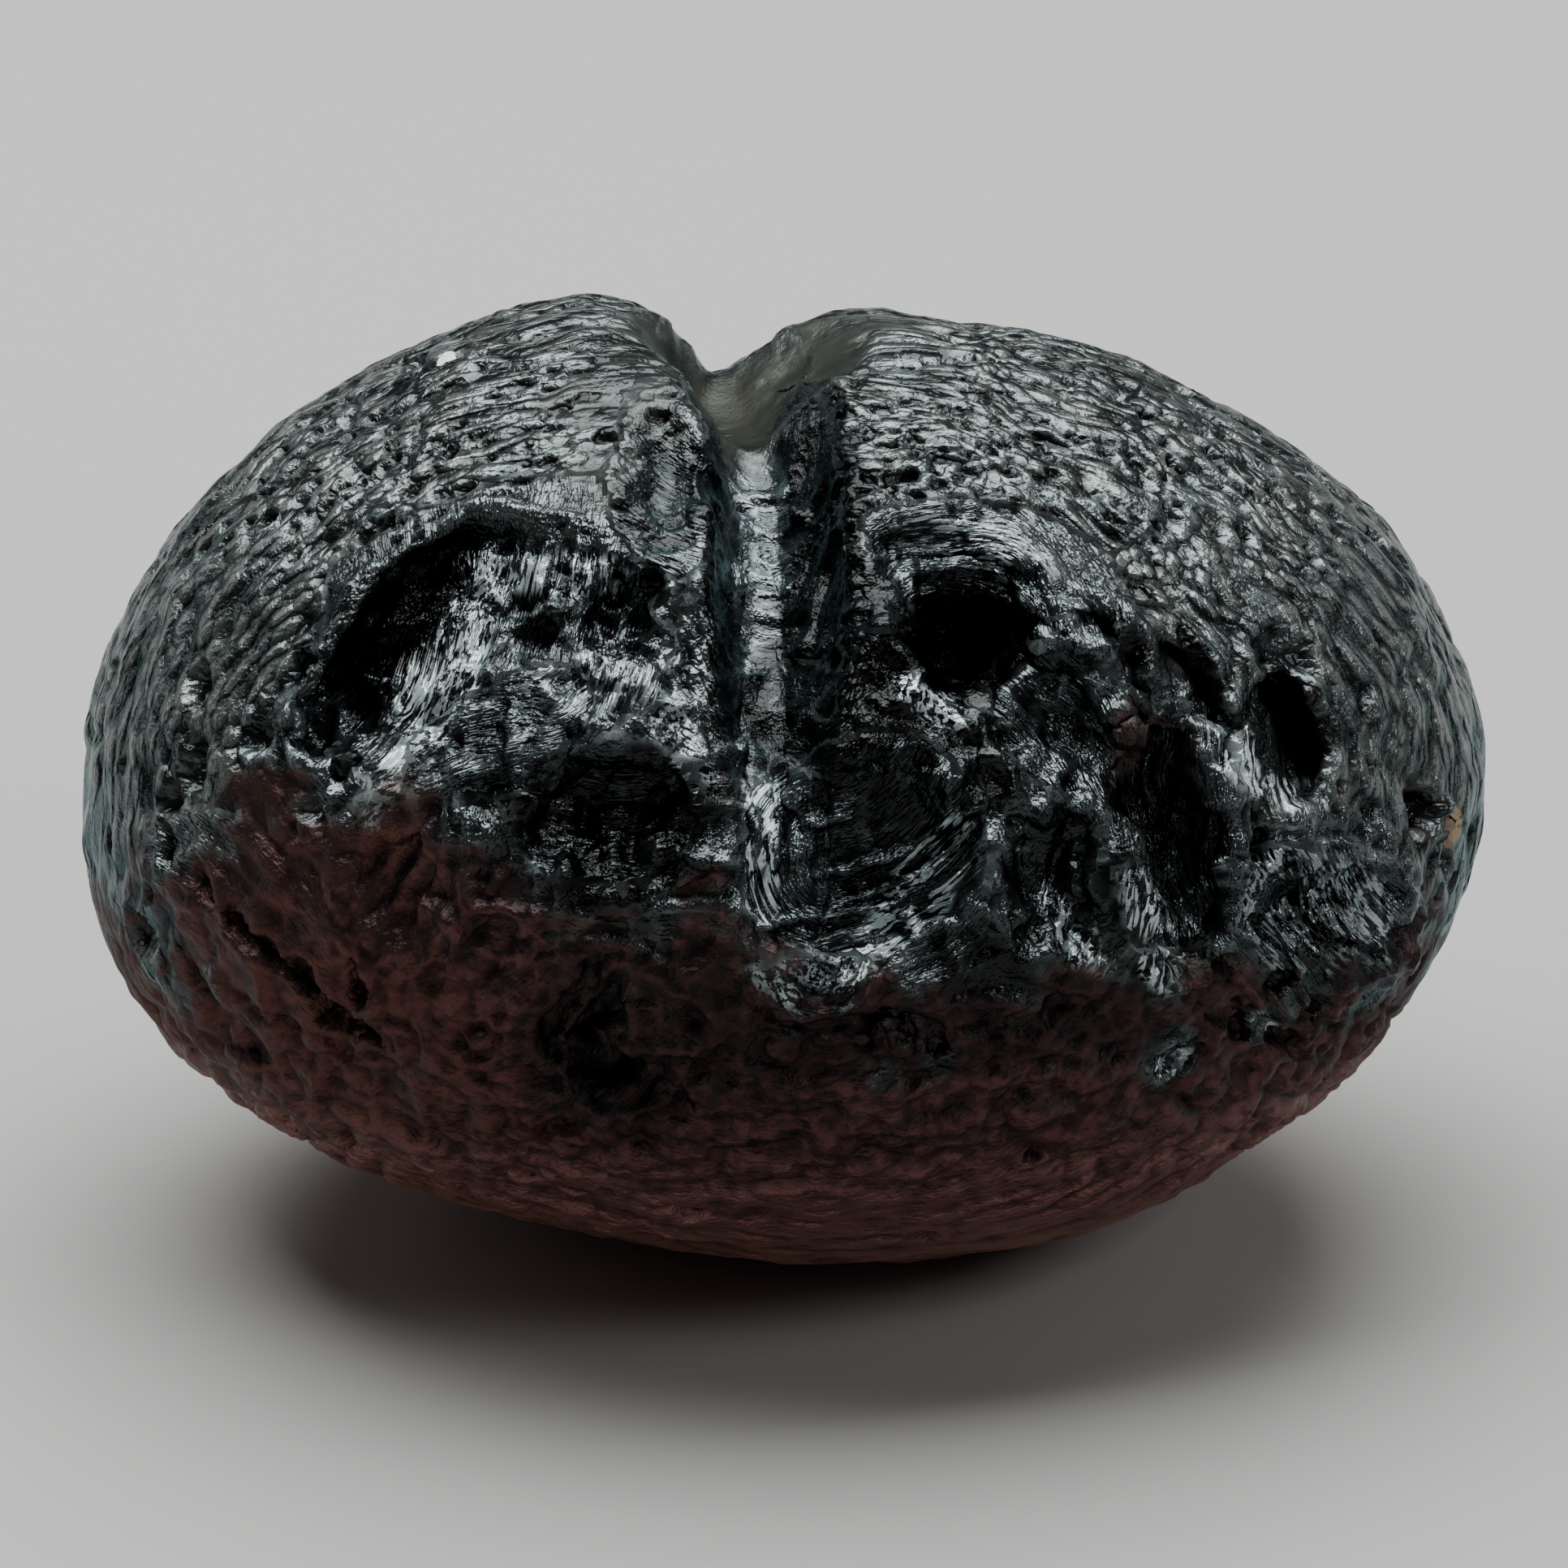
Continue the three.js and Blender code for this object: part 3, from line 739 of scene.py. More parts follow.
# %% [markdown]
# ## A corner's place in the flow
# Noise that is read at a place squeezed along the flow comes out as long lines. So each corner
# gets three numbers: how far it lies along the lines, divided by the stretch, how far across
# them, and how deep. In a region the lines are rings about its centre, so along is an angle
# and across is a radius. A dip in strength hides the seam where two regions meet.

# %% Measure the flow
def measure_flow(points):
    """A place in the flow, drawn out along the lines, the lines' strength, and the depth."""
    u, v, w = points.T
    length = np.linalg.norm(points, axis=1)
    deep = np.maximum(0, length * (1 / skin_share(u, v, w) - 1))
    tip = np.arccos(np.clip(w / length, -1, 1))
    rim = np.arctan2(v, u)
    sway = [0.3 * cloud(u, v, w, 2.6, 10 + k) for k in range(3)]
    place = np.stack([
        RIM_REACH / FLOW_STRETCH * np.cos(rim), RIM_REACH / FLOW_STRETCH * np.sin(rim),
        TIP_REACH * tip,
    ], axis=1)
    strength = 0.25 + 0.55 * soft_step(-8, -11, v)
    front = soft_step(*FRONT, w)
    for number, (cu, cv, width, span, turn, ru, rv, strong) in enumerate(FLOWS, 1):
        c, s = math.cos(math.radians(turn)), math.sin(math.radians(turn))
        x, y = c * (u - cu) + s * (v - cv), c * (v - cv) - s * (u - cu)
        near = np.hypot(2 * x / span, 2 * y / width) + 0.10 * cloud(u, v, w, 1.5, 15)
        inside = front * soft_step(1.06, 0.94, near)
        away = np.hypot(u - ru, v - rv)
        middle = math.atan2(cv - rv, cu - ru)
        angle = (np.arctan2(v - rv, u - ru) - middle + np.pi) % (2 * np.pi) - np.pi
        radius = max(3.0, math.hypot(cv - rv, cu - ru))
        rings = np.stack([
            away + NEXT_REGION * number, angle * radius / FLOW_STRETCH, 0.15 * w,
        ], axis=1)
        place = np.where((inside > 0.5)[:, None], rings, place)
        strength = strength * (1 - inside) + strong * inside
        strength = strength * (1 - 0.9 * np.exp(-((near - 1) / 0.05) ** 2) * front)
    angle, beside = groove_place(u, v, w)
    beside = beside + 0.4 * cloud(u, v, w, 1.6, 13)
    in_groove = soft_step(2.9, 2.5, np.abs(beside - 0.25)) * soft_step(0.4, 0.9, deep)
    foot = v - 3.5 + 1.2 * cloud(u, v, w, 1.3, 14)
    in_groove = in_groove * soft_step(-1, 1, foot)
    seam = np.exp(-((np.abs(beside - 0.25) - 2.7) / 0.15) ** 2)
    seam = np.maximum(seam, np.exp(-(foot / 0.4) ** 2) * (np.abs(beside - 0.25) < 2.7))
    hoops = np.stack([
        beside / 2.5 - NEXT_REGION, 0.3 * angle - 0.5 * beside**2, 0 * u,
    ], axis=1)
    place = np.where((in_groove > 0.5)[:, None], hoops, place)
    strength = np.where(in_groove > 0.5, 0.6, strength)
    strength = strength * (1 - 0.9 * seam * front * soft_step(0.2, 0.5, deep))
    strength = strength * (1 - 0.85 * measure_saddle(points))
    return place + np.stack(sway, axis=1), strength, deep


print("lines are strongest at", measure_flow(skin.points[::50])[1].max().round(2))

# %% [markdown]
# ## Broken glass
# The skin is dull, but the middle of the face is broken open and glossy. Some of it is painted
# shade: patches painted black, with only the lines of its flow lit as painted highlights. On some
# steps the edges are painted pale as highlights. Both are rows on the map of the face again, with
# ragged edges.

# %% Broken glass
# [u, v, half the width, half the height]
BROKEN_MIDDLE, TORN_END = (-0.5, 0.6, 16.0, 8.8), (18.5, -4.2, 5.0, 4.4)


def oval(u, v, row):
    """0 in the middle of an oval of the face and 1 on its edge."""
    middle_u, middle_v, half_width, half_height = row
    return np.hypot((u - middle_u) / half_width, (v - middle_v) / half_height)


def measure_glossy(points):
    """1 in the broken middle of the face, where the glass is glossy, and 0 on the skin."""
    u, v, w = points.T
    near = oval(u, v, BROKEN_MIDDLE) + 0.12 * cloud(u, v, w, 4.0, 16)
    near = np.minimum(near, oval(u, v, TORN_END) + 0.2)
    in_groove = soft_step(3.0, 2.4, np.abs(u)) * soft_step(1.0, 3.0, v)
    return soft_step(1.08, 0.9, near) * soft_step(*FRONT, w) * (1 - 0.8 * in_groove)


# Patches painted black as painted shade, in walls, bubbles and under lips. Past 1 even their
# painted lit lines are dark.
# [u, v, width, length, turn, strength]
PAINTED_SHADE_PATCHES = [
    [1.35, 6.8, 2.7, 16.0, 90, 1.85],    # right wall of the groove
    [-2.3, 6.4, 1.0, 13.0, 92, 1.2],     # left wall of the groove
    [3.2, 4.6, 3.4, 6.4, 90, 1.4],       # between it and the deep bubble
    [-0.3, 2.6, 2.6, 4.6, 90, 1.1],      # foot of the groove
    [6.4, 3.8, 6.5, 8.4, -25, 0.8],      # round the deep bubble
    [4.8, 8.8, 3.4, 4.6, -15, 0.6],      # its hood
    [-6.2, -1.4, 5.8, 8.8, 0, 1.1],      # under the left bowl
    [4.3, 0.5, 4.4, 8.0, 10, 0.9],       # top of the middle bowl
    [3.8, -3.4, 4.4, 6.6, 20, 0.7],      # its floor
    [13.4, -2.2, 4.4, 8.8, -82, 0.9],    # long bubble
    [9.8, -3.8, 5.6, 5.4, 0, 0.75],      # between the two
    [12.3, 3.6, 3.4, 6.8, -50, 0.4],     # pits under the right shoulder
    [-14.2, 6.4, 3.4, 7.4, 42, 0.8],     # under the lip of the left bowl
    [-6.0, -9.0, 6.8, 6.4, 0, 0.8],      # arch near the underside
    [-2.6, -8.6, 5.6, 12.0, -4, 0.6],    # round the arch
    [1.1, 12.0, 2.6, 5.2, 90, 1.6],      # top of the groove's right wall
    [-4.2, 10.0, 3.2, 5.8, 82, 1.0],     # scoop beside the groove
    [18.4, -4.8, 5.4, 8.0, -30, 1.0],    # torn glass on the right
    [6.2, 5.0, 4.4, 4.8, 0, 1.6],        # inside the deep bubble
    [17.4, 1.8, 2.5, 4.0, -62, 1.6],     # inside the bubble on the right shoulder
    [11.8, 5.0, 1.5, 2.6, -60, 1.4],     # inside the pits below the right shoulder
    [14.5, 3.8, 1.5, 2.8, -60, 1.4],
    [-5.2, 13.6, 4.2, 4.6, 0, 0.55],     # left shoulder of the groove
    [-12.9, 5.8, 1.9, 8.0, 56, 1.5],     # under the lip of the left bowl
    [-9.4, 4.0, 6.6, 12.0, 26, 0.8],     # between the lines of its curtain
    [4.5, -8.4, 3.6, 20.0, 4, 0.75],     # under the middle bowl
    [6.8, -6.4, 3.4, 4.2, 0, 1.1],       # its lower right
]


# Steps of the broken glass whose edges are painted pale as painted highlights, in the same columns.
PAINTED_HIGHLIGHT_STEPS = [
    [-0.8, -2.4, 1.5, 5.2, 92, 1.0],     # left wall of the middle bowl
    [1.0, -6.7, 2.2, 5.2, 0, 0.9],       # its lower lip
    [4.6, -3.7, 2.6, 6.2, 58, 0.75],     # its right side
    [12.7, -5.0, 1.7, 4.6, -72, 0.85],   # ridge in the long bubble
    [15.5, 1.2, 1.3, 3.6, -62, 0.8],     # facets on its upper right
    [17.4, -0.4, 1.0, 3.2, -12, 0.7],
    [20.8, -5.4, 1.0, 2.4, -60, 0.7],    # facets near the right end
    [13.7, -9.6, 1.2, 1.6, 30, 0.6],     # bare spots in the red
    [17.0, -8.6, 0.8, 2.0, -40, 0.6],
    [10.0, -5.2, 1.4, 3.6, -60, 0.5],    # on its left
    [18.4, -4.4, 4.6, 7.0, -30, 0.45],   # torn glass on its right
    [-12.0, 3.2, 2.4, 9.4, 66, 0.75],    # curtain of the left bowl
    [-7.8, 7.2, 1.6, 5.0, 0, 0.6],       # its upper end
    [-6.8, 3.6, 2.2, 5.0, 0, 0.45],      # flutes on its right
    [-3.6, 1.5, 1.5, 3.8, -62, 0.6],     # its right wall
    [5.0, 2.8, 0.9, 3.4, -32, 0.8],      # lower rim of the deep bubble
    [7.2, 8.2, 1.7, 6.0, -20, 0.6],      # arcs of its hood
]


def patch_strength(points, rows):
    """The strongest of some patches of the face at each point, for painted shade or painted
    highlights.
    """
    u, v, w = points.T
    strongest = 0
    shake = clouds(u, v, w, [[0.16, 1.8, 40], [0.12, 0.7, 41]])
    for cu, cv, width, length, turn, strength in rows:
        c, s = math.cos(math.radians(turn)), math.sin(math.radians(turn))
        x, y = c * (u - cu) + s * (v - cv), c * (v - cv) - s * (u - cu)
        near = np.hypot(2 * x / length, 2 * y / width) + shake
        strongest = np.maximum(strongest, strength * soft_step(1.1, 0.85, near))
    return strongest * soft_step(*FRONT, w)


print(len(PAINTED_SHADE_PATCHES), "fresh patches,", len(PAINTED_HIGHLIGHT_STEPS), "pale ones")

# %% [markdown]
# ## Folds and broken facets
# The second layer is the relief of the flow and of the break: folds along the lines in the
# hollows, sharp facets all over the glossy middle, and lumps on the stained underside. All
# are the same noise, folded over at nought, which turns soft bumps into crests with an edge.

# %% Folds and broken facets
# [height, length of the bumps, seed], in mm
FOLDS = [[0.34, 0.95, 17], [0.16, 0.5, 18]]
FACETS = [[0.42, 1.7, 19], [0.20, 0.8, 20]]
LUMPS, LUMP_LINES = [[0.34, 1.5, 35], [0.14, 0.75, 37]], [[0.16, 0.9, 36]]
TORN_FOLDS = (18.2, -5.0, 4.6, 4.0)    # an oval, as above


def crests(place, layers):
    """Layers of noise with sharp crests where it passes nought, each from 0 to its height."""
    return sum(
        height * (1 - np.minimum(1, 1.6 * np.abs(cloud(*place.T, length, seed))))
        for height, length, seed in layers
    )


u, v, w = skin.points.T
place, strength, deep = measure_flow(skin.points)
glossy = measure_glossy(skin.points)
in_hollow = soft_step(0.15, 0.7, deep) * soft_step(-2, 2, w)
stained = soft_step(-0.5, -2.0, v) * soft_step(-2.0, -6.0, u) * soft_step(4, 8, w)
torn_glass = soft_step(1.1, 0.8, oval(u, v, TORN_FOLDS)) * soft_step(*FRONT, w)
showing = np.maximum(in_hollow, np.maximum(0.5 * stained, 1.3 * torn_glass))
skin.height += strength * (0.3 + 0.7 * showing) * crests(place, FOLDS)
broken = np.maximum(glossy, 0.4 * stained) * (1 - 0.75 * strength * in_hollow)
skin.height += broken * crests(skin.points, FACETS)
under = soft_step(-6.0, -9.0, v) * soft_step(-3, 2, w)
lumps = crests(skin.points, LUMPS) * soft_step(-15.5, -12.5, v) + crests(place, LUMP_LINES)
skin.height -= under * lumps
print("folds and facets up to", skin.height.max().round(2), "mm high")

# %% [markdown]
# ## Cups and blisters
# Some marks in the bowls are too plain to leave to noise: cups where small bubbles burst,
# flutes beside them, and thin raised folds. They belong to the second layer too, and have
# steeper walls than the broad dents, which a smaller power of the dish gives.

# %% Cups and blisters
# [u, v, width, length, depth, turn]
CUPS = [
    # left bowl: small cups under its upper rim, then flutes and a blister
    [-7.7, 7.4, 1.2, 0.8, 0.40, 0], [-9.1, 6.4, 1.2, 1.6, 0.50, 10], [-8.6, 5.2, 1.2, 1.8, 0.50, 0],
    [-7.5, 4.6, 0.9, 0.7, 0.30, 0], [-5.8, 7.0, 1.0, 1.0, 0.50, 0], [-5.0, 6.1, 1.1, 0.9, 0.45, 0],
    [-4.4, 7.0, 0.9, 0.8, 0.40, 0], [-6.3, 5.8, 1.0, 0.9, 0.45, 0], [-6.7, 8.0, 0.8, 0.9, 0.40, 0],
    [-5.4, 4.9, 0.8, 0.8, 0.40, 0], [-10.6, 3.2, 1.0, 1.6, 0.35, 20],
    [-9.2, 2.6, 0.8, 1.4, 0.35, 24], [-6.9, 3.6, 2.2, 0.5, 0.35, 0],
    [-6.3, 3.5, 2.2, 0.45, 0.35, 2], [-5.7, 3.4, 2.0, 0.45, 0.35, 4],
    [-4.1, 4.2, 3.6, 0.5, 0.30, 6], [-3.4, 3.6, 3.6, 0.45, 0.30, 8], [-4.4, 2.2, 1.2, 0.6, 0.30, 0],
    [-15.4, 2.9, 1.6, 1.8, 0.60, 0], [-15.9, 1.2, 1.2, 1.6, 0.50, 30],
    # middle bowl: a ring on its left, slabs and a small cup below
    [0.1, -1.9, 1.7, 1.2, 0.35, 0], [1.2, -6.9, 0.9, 1.5, 0.70, 0], [3.8, -5.6, 1.0, 1.6, 0.35, 20],
    [5.4, -4.9, 1.0, 1.2, 0.40, 30], [6.4, -2.0, 2.0, 1.4, 0.40, 0],
    # between the groove and the long bubble
    [8.2, -1.2, 1.2, 1.4, 0.50, 0], [9.6, -0.4, 1.0, 1.2, 0.45, 0], [9.4, 1.6, 1.0, 1.6, 0.40, -30],
    [7.4, 1.8, 1.0, 1.8, 0.40, -20], [4.6, 0.9, 1.2, 2.0, 0.40, -10],
    [9.9, -2.6, 1.6, 1.0, 0.45, 10], [8.4, -5.2, 1.1, 1.6, 0.45, 14],
    [10.3, -5.6, 1.0, 1.4, 0.45, 8],
    # hollow under the left bowl
    [-7.2, -1.2, 1.6, 1.2, 0.40, 0], [-5.2, -2.4, 1.2, 1.6, 0.40, 0],
    [-4.4, -0.4, 1.6, 1.0, 0.35, 0],
]
BLISTERS = [
    [-15.2, 4.1, 0.5, 2.0, 0.45, -20], [12.4, -4.1, 1.5, 6.4, 0.60, -80],
    [-4.4, 4.7, 1.0, 1.0, 0.40, 0], [-0.6, -2.0, 3.4, 0.7, 0.55, -4],
    [-1.3, -1.9, 3.8, 0.5, 0.50, 4], [0.75, 11.1, 0.5, 0.5, 0.30, 0],
    [0.3, -2.1, 1.9, 0.5, 0.40, 0], [23.2, -0.8, 0.7, 0.9, 0.35, 0],
    [23.4, -1.5, 0.6, 0.8, 0.40, 0], [23.0, -2.0, 0.6, 0.7, 0.30, 0],
    [0.3, -6.3, 0.7, 3.4, 0.55, -6], [0.2, -5.0, 0.5, 3.4, 0.45, 4], [1.0, -7.9, 0.5, 3.4, 0.45, 6],
    [3.4, -7.0, 0.5, 3.0, 0.50, 24], [4.6, -6.0, 0.5, 3.2, 0.50, 34],
    [3.0, -2.7, 0.5, 4.6, 0.60, 16], [3.6, -3.9, 0.4, 5.0, 0.60, 20],
    [2.6, -4.9, 0.4, 4.0, 0.50, 12], [6.0, -1.2, 0.6, 2.6, 0.50, 30],
    [6.2, -2.6, 0.5, 2.4, 0.45, 34], [5.6, -5.4, 0.5, 2.6, 0.40, 30],
    [1.6, -1.1, 0.5, 2.2, 0.40, 10], [-3.1, 1.1, 3.0, 1.0, 0.45, 0],
    [-9.4, 0.9, 0.6, 3.4, 0.40, 34], [-11.4, 1.6, 0.5, 2.6, 0.30, 40],
]
for row in CUPS:
    skin.dish(row, sharpness=0.8, ragged=0.2)
for place_u, place_v, width, length, height, turn in BLISTERS:
    skin.dish([place_u, place_v, width, length, -height, turn], sharpness=0.9, ragged=0.1)
skin.push()
print(len(CUPS), "cups,", len(BLISTERS), "blisters, length now", np.ptp(skin.points[:, 0]).round(2))

# %% [markdown]
# ## Single pits and cracks
# The third layer is the pits that stand alone, from pinpricks to the open one at the right
# end. A row of long pits, end to end and a little out of line, reads as a crack.

# %% Single pits and cracks
# [u, v, width, length, depth, turn]
PITS = [
    [-15.3, 0.6, 1.2, 1.2, 0.9, 0], [-16.6, 2.0, 2.2, 1.5, 0.9, 10], [-16.8, 4.2, 1.4, 1.2, 0.6, 0],
    [-18.3, 1.5, 1.4, 1.2, 0.6, 0], [-20.4, 3.6, 1.6, 1.3, 0.9, 0], [-20.6, 0.7, 1.6, 1.4, 0.7, 0],
    [-21.2, -0.5, 1.2, 1.2, 0.7, 0], [-16.0, -0.9, 1.0, 1.2, 0.6, 0],
    [-21.4, -2.3, 0.7, 1.8, 0.6, -48], [-20.1, -3.5, 0.7, 2.0, 0.7, -48],
    [-18.6, -4.9, 0.8, 2.2, 0.9, -44], [-17.7, -5.7, 0.8, 1.8, 0.8, -44],
    [-16.6, -6.8, 1.1, 2.2, 1.0, -52], [-15.7, -7.9, 1.2, 2.2, 1.1, -58],
    [-14.8, -7.0, 2.6, 1.2, 0.9, 16], [-14.5, -8.9, 0.8, 1.6, 0.8, -40],
    [-20.3, -7.2, 0.8, 1.6, 0.6, -30], [-22.6, -5.1, 1.8, 2.4, 0.7, 0],
    [-11.4, 15.7, 0.8, 0.8, 0.45, 0], [4.4, 13.2, 0.5, 1.5, 0.40, -8],
    [5.8, 12.9, 0.5, 1.6, 0.40, -12], [4.0, 10.8, 1.0, 1.0, 0.55, 0],
    [5.1, 10.9, 1.0, 1.0, 0.55, 0], [6.3, 9.1, 1.0, 1.1, 0.50, 0], [8.2, 9.4, 0.7, 1.4, 0.40, -30],
    [9.9, 10.4, 0.6, 1.6, 0.35, -34], [9.0, 5.5, 1.0, 1.6, 0.60, -40],
    [15.2, 1.6, 2.3, 0.9, 0.80, 0], [14.6, 2.6, 1.0, 1.0, 0.50, 0], [16.2, -1.9, 1.5, 1.2, 0.90, 0],
    [17.6, -2.7, 1.0, 1.2, 0.60, 0], [19.6, -3.2, 1.1, 1.3, 0.60, 0],
    [18.2, -4.6, 1.0, 1.3, 0.60, 20], [19.4, -5.4, 1.0, 1.6, 0.60, 20],
    [16.6, -5.2, 1.2, 1.0, 0.60, 30], [15.4, -6.4, 1.0, 1.2, 0.60, 20],
    [17.2, -7.0, 1.0, 1.4, 0.60, 30], [20.9, -3.6, 1.0, 1.2, 0.60, 0],
    [22.4, -1.1, 2.2, 2.8, 1.50, 0], [23.3, -2.7, 1.2, 1.2, 0.60, 0],
    [21.6, -5.0, 1.9, 2.8, 1.00, 20], [13.8, -9.8, 1.4, 1.9, 0.60, 30],
    [17.6, -9.0, 0.8, 2.2, 0.60, -40], [15.8, -8.4, 0.9, 2.0, 0.60, -46],
    [19.0, -7.6, 0.8, 2.2, 0.60, -40], [3.7, -8.7, 1.5, 2.3, 0.70, 0],
    [6.9, -8.6, 1.1, 2.3, 0.50, 8], [9.6, -7.6, 1.0, 2.4, 0.50, 14],
    [-3.4, -14.9, 0.9, 1.3, 0.60, 0], [-9.3, -13.8, 0.8, 1.1, 0.50, 0],
    [5.2, -16.0, 1.2, 1.8, 0.50, 0], [-6.5, -9.7, 2.2, 2.6, 1.00, 0],
    [-3.6, -11.0, 1.2, 1.4, 0.60, 0], [-7.9, -8.6, 3.4, 0.8, 0.60, -20],
    [-6.5, -6.6, 2.6, 0.7, 0.60, -30],
]
for row in PITS:
    skin.dish(row, sharpness=0.7, ragged=0.3)
skin.push()
print(len(PITS), "single pits")

# %% [markdown]
# ## Skin made by rules
# Two kinds of relief repeat all over the stone: a leather of small cells, drawn out along the
# rim, and scattered pits. Each is a Geometry Nodes tree with named sizes. The first reads a
# cell pattern at each corner, and the second scatters points and presses a dish at each one.
# A small class wraps a node's output, so that the trees, and later the material, are written
# as plain arithmetic: a sign between two wires adds the Math node for it.

# %% Node arithmetic
class Wire:
    """A node's output. Signs between wires and numbers add Math nodes."""

    def __init__(self, board, socket):
        self.board, self.socket = board, socket

    def maths(self, operation, *values):
        return self.board.wire("ShaderNodeMath", {"operation": operation}, dict(enumerate(values)))

    def __add__(self, other):
        return self.maths("ADD", self, other)

    def __sub__(self, other):
        return self.maths("SUBTRACT", self, other)

    def __rsub__(self, other):
        return self.maths("SUBTRACT", other, self)

    def __mul__(self, other):
        return self.maths("MULTIPLY", self, other)

    def __truediv__(self, other):
        return self.maths("DIVIDE", self, other)

    def __rtruediv__(self, other):
        return self.maths("DIVIDE", other, self)

    def __pow__(self, other):
        return self.maths("POWER", self, other)

    __radd__ = __add__
    __rmul__ = __mul__

    def at_least(self, other):
        return self.maths("MAXIMUM", self, other)

    def at_most(self, other):
        return self.maths("MINIMUM", self, other)


print("signs between wires:", [name for name in vars(Wire) if name.startswith("__r")])

# %% [markdown]
# ## One way to add a node
# Every node is added by one method: its type, then its settings, which have to be set first
# because they change its sockets, then the values or links of its inputs. Noise, cells and
# ramps come from it too, so the trees and the material share them.

# %% A board for nodes
class Board:
    """A node tree, with one method that adds any node."""

    def __init__(self, tree):
        self.tree = tree

    def node(self, kind, settings=(), values=()):
        made = self.tree.nodes.new(kind)
        for name, setting in dict(settings).items():
            setattr(made, name, setting)
        for name, value in dict(values).items():
            if isinstance(value, Wire):
                self.tree.links.new(value.socket, made.inputs[name])
            else:
                made.inputs[name].default_value = value
        return made

    def wire(self, kind, settings=(), values=(), out=0):
        return Wire(self, self.node(kind, settings, values).outputs[out])

    def vector(self, operation, *values, out=0):
        settings = {"operation": operation}
        return self.wire("ShaderNodeVectorMath", settings, dict(enumerate(values)), out)

    def scaled(self, vector, factor):
        """A vector times a number."""
        values = {0: vector, "Scale": factor}
        return self.wire("ShaderNodeVectorMath", {"operation": "SCALE"}, values)

    def blend(self, factor, first, second):
        """Mixes two colours."""
        values = {0: factor, 6: first, 7: second}
        return self.wire("ShaderNodeMix", {"data_type": "RGBA"}, values, 2)

    def cells(self, place, size):
        """Squared distance from the middle of the nearest pad, about 0 to 0.5."""
        values = {"Vector": place, "Scale": 1 / size}
        return self.wire("ShaderNodeTexVoronoi", {"feature": "F1"}, values) ** 2

    def ramp(self, value, low, high):
        """0 up to low, 1 from high on, and smooth between."""
        return self.wire(
            "ShaderNodeMapRange", {"interpolation_type": "SMOOTHSTEP"},
            {"Value": value, "From Min": low, "From Max": high},
        )


print("a board adds", [name for name in vars(Board) if name[0] != "_"])

# %% [markdown]
# ## Opening and closing a tree
# A Geometry Nodes tree needs an entry with its named inputs and an exit. The exit realizes
# instances and sets the material, because an exported mesh has neither. Both trees here move
# corners along their normals by a lift, so that step is shared too.

# %% Tools for the trees
def make_tree(name, inputs):
    """A Geometry Nodes tree with a geometry and named numbers coming in."""
    tree = bpy.data.node_groups.new(name, "GeometryNodeTree")
    tree.interface.new_socket("Geometry", in_out="INPUT", socket_type="NodeSocketGeometry")
    tree.interface.new_socket("Geometry", in_out="OUTPUT", socket_type="NodeSocketGeometry")
    keys = {}
    for label, value in inputs.items():
        kind = "NodeSocketInt" if isinstance(value, int) else "NodeSocketFloat"
        keys[label] = tree.interface.new_socket(label, in_out="INPUT", socket_type=kind).identifier
    board = Board(tree)
    entry = board.node("NodeGroupInput")
    wires = {label: Wire(board, entry.outputs[label]) for label in ["Geometry", *inputs]}
    return tree, board, wires, keys


def read_attribute(board, name, data_type):
    settings = {"data_type": data_type}
    return board.wire("GeometryNodeInputNamedAttribute", settings, {"Name": name})


def lift_corners(board, geometry, lift):
    """Moves each corner along its normal by a lift in metres."""
    offset = board.scaled(board.wire("GeometryNodeInputNormal"), lift)
    return board.wire("GeometryNodeSetPosition", {}, {"Geometry": geometry, "Offset": offset})


def end_tree(board, geometry, material):
    """Realizes instances, sets the material and closes the tree."""
    whole = board.wire("GeometryNodeRealizeInstances", {}, {0: geometry})
    dressed = board.node("GeometryNodeSetMaterial", {}, {0: whole})
    dressed.inputs["Material"].default_value = material
    last = board.node("NodeGroupOutput")
    board.tree.links.new(dressed.outputs[0], last.inputs[0])


def add_tree(piece, tree, keys, inputs):
    """Hangs a tree on a piece and sets its inputs by their identifiers."""
    modifier = piece.modifiers.new(tree.name, "NODES")
    modifier.node_group = tree
    for label, value in inputs.items():
        modifier[keys[label]] = value
    return modifier


glass = bpy.data.materials.new("black_glass")
print("made the material", glass.name)

# %% [markdown]
# ## From arrays to a mesh and back
# The stone so far is arrays of numbers. Blender takes a whole array at once with foreach_set,
# which is far faster than corner by corner. What would sink into the floor is worn flat, as
# the underside of such a stone is. Numbers that a tree or the material has to read go along
# as attributes of the corners.

# %% Mesh from arrays
def to_frame(points):
    """Points in the frame's own axes, in mm, worn flat where they would sink into the floor."""
    placed = points @ FACE_AXES + (0, 0, REST_DEPTH)
    placed[:, 2] = np.maximum(placed[:, 2], 0)
    return placed


def make_mesh(name, points, quads):
    """A mesh in metres, in the frame's own axes, from u, v, w and four-sided faces."""
    made = bpy.data.meshes.new(name)
    made.vertices.add(len(points))
    made.vertices.foreach_set("co", (to_frame(points) * MM).ravel())
    made.loops.add(quads.size)
    made.loops.foreach_set("vertex_index", quads.ravel().astype(np.int32))
    made.polygons.add(len(quads))
    made.polygons.foreach_set("loop_start", np.arange(0, quads.size, 4, dtype=np.int32))
    made.update(calc_edges=True)
    made.validate()
    made.shade_smooth()
    return made


def read_points(mesh):
    """The mesh's corners in u, v and w, in mm."""
    flat = np.empty(3 * len(mesh.vertices), np.float32)
    mesh.vertices.foreach_get("co", flat)
    return (flat.reshape(-1, 3).astype(float) / MM - (0, 0, REST_DEPTH)) @ FACE_AXES.T


def write_number(mesh, name, values):
    made = mesh.attributes.new(name, "FLOAT", "POINT")
    made.data.foreach_set("value", values.astype(np.float32))


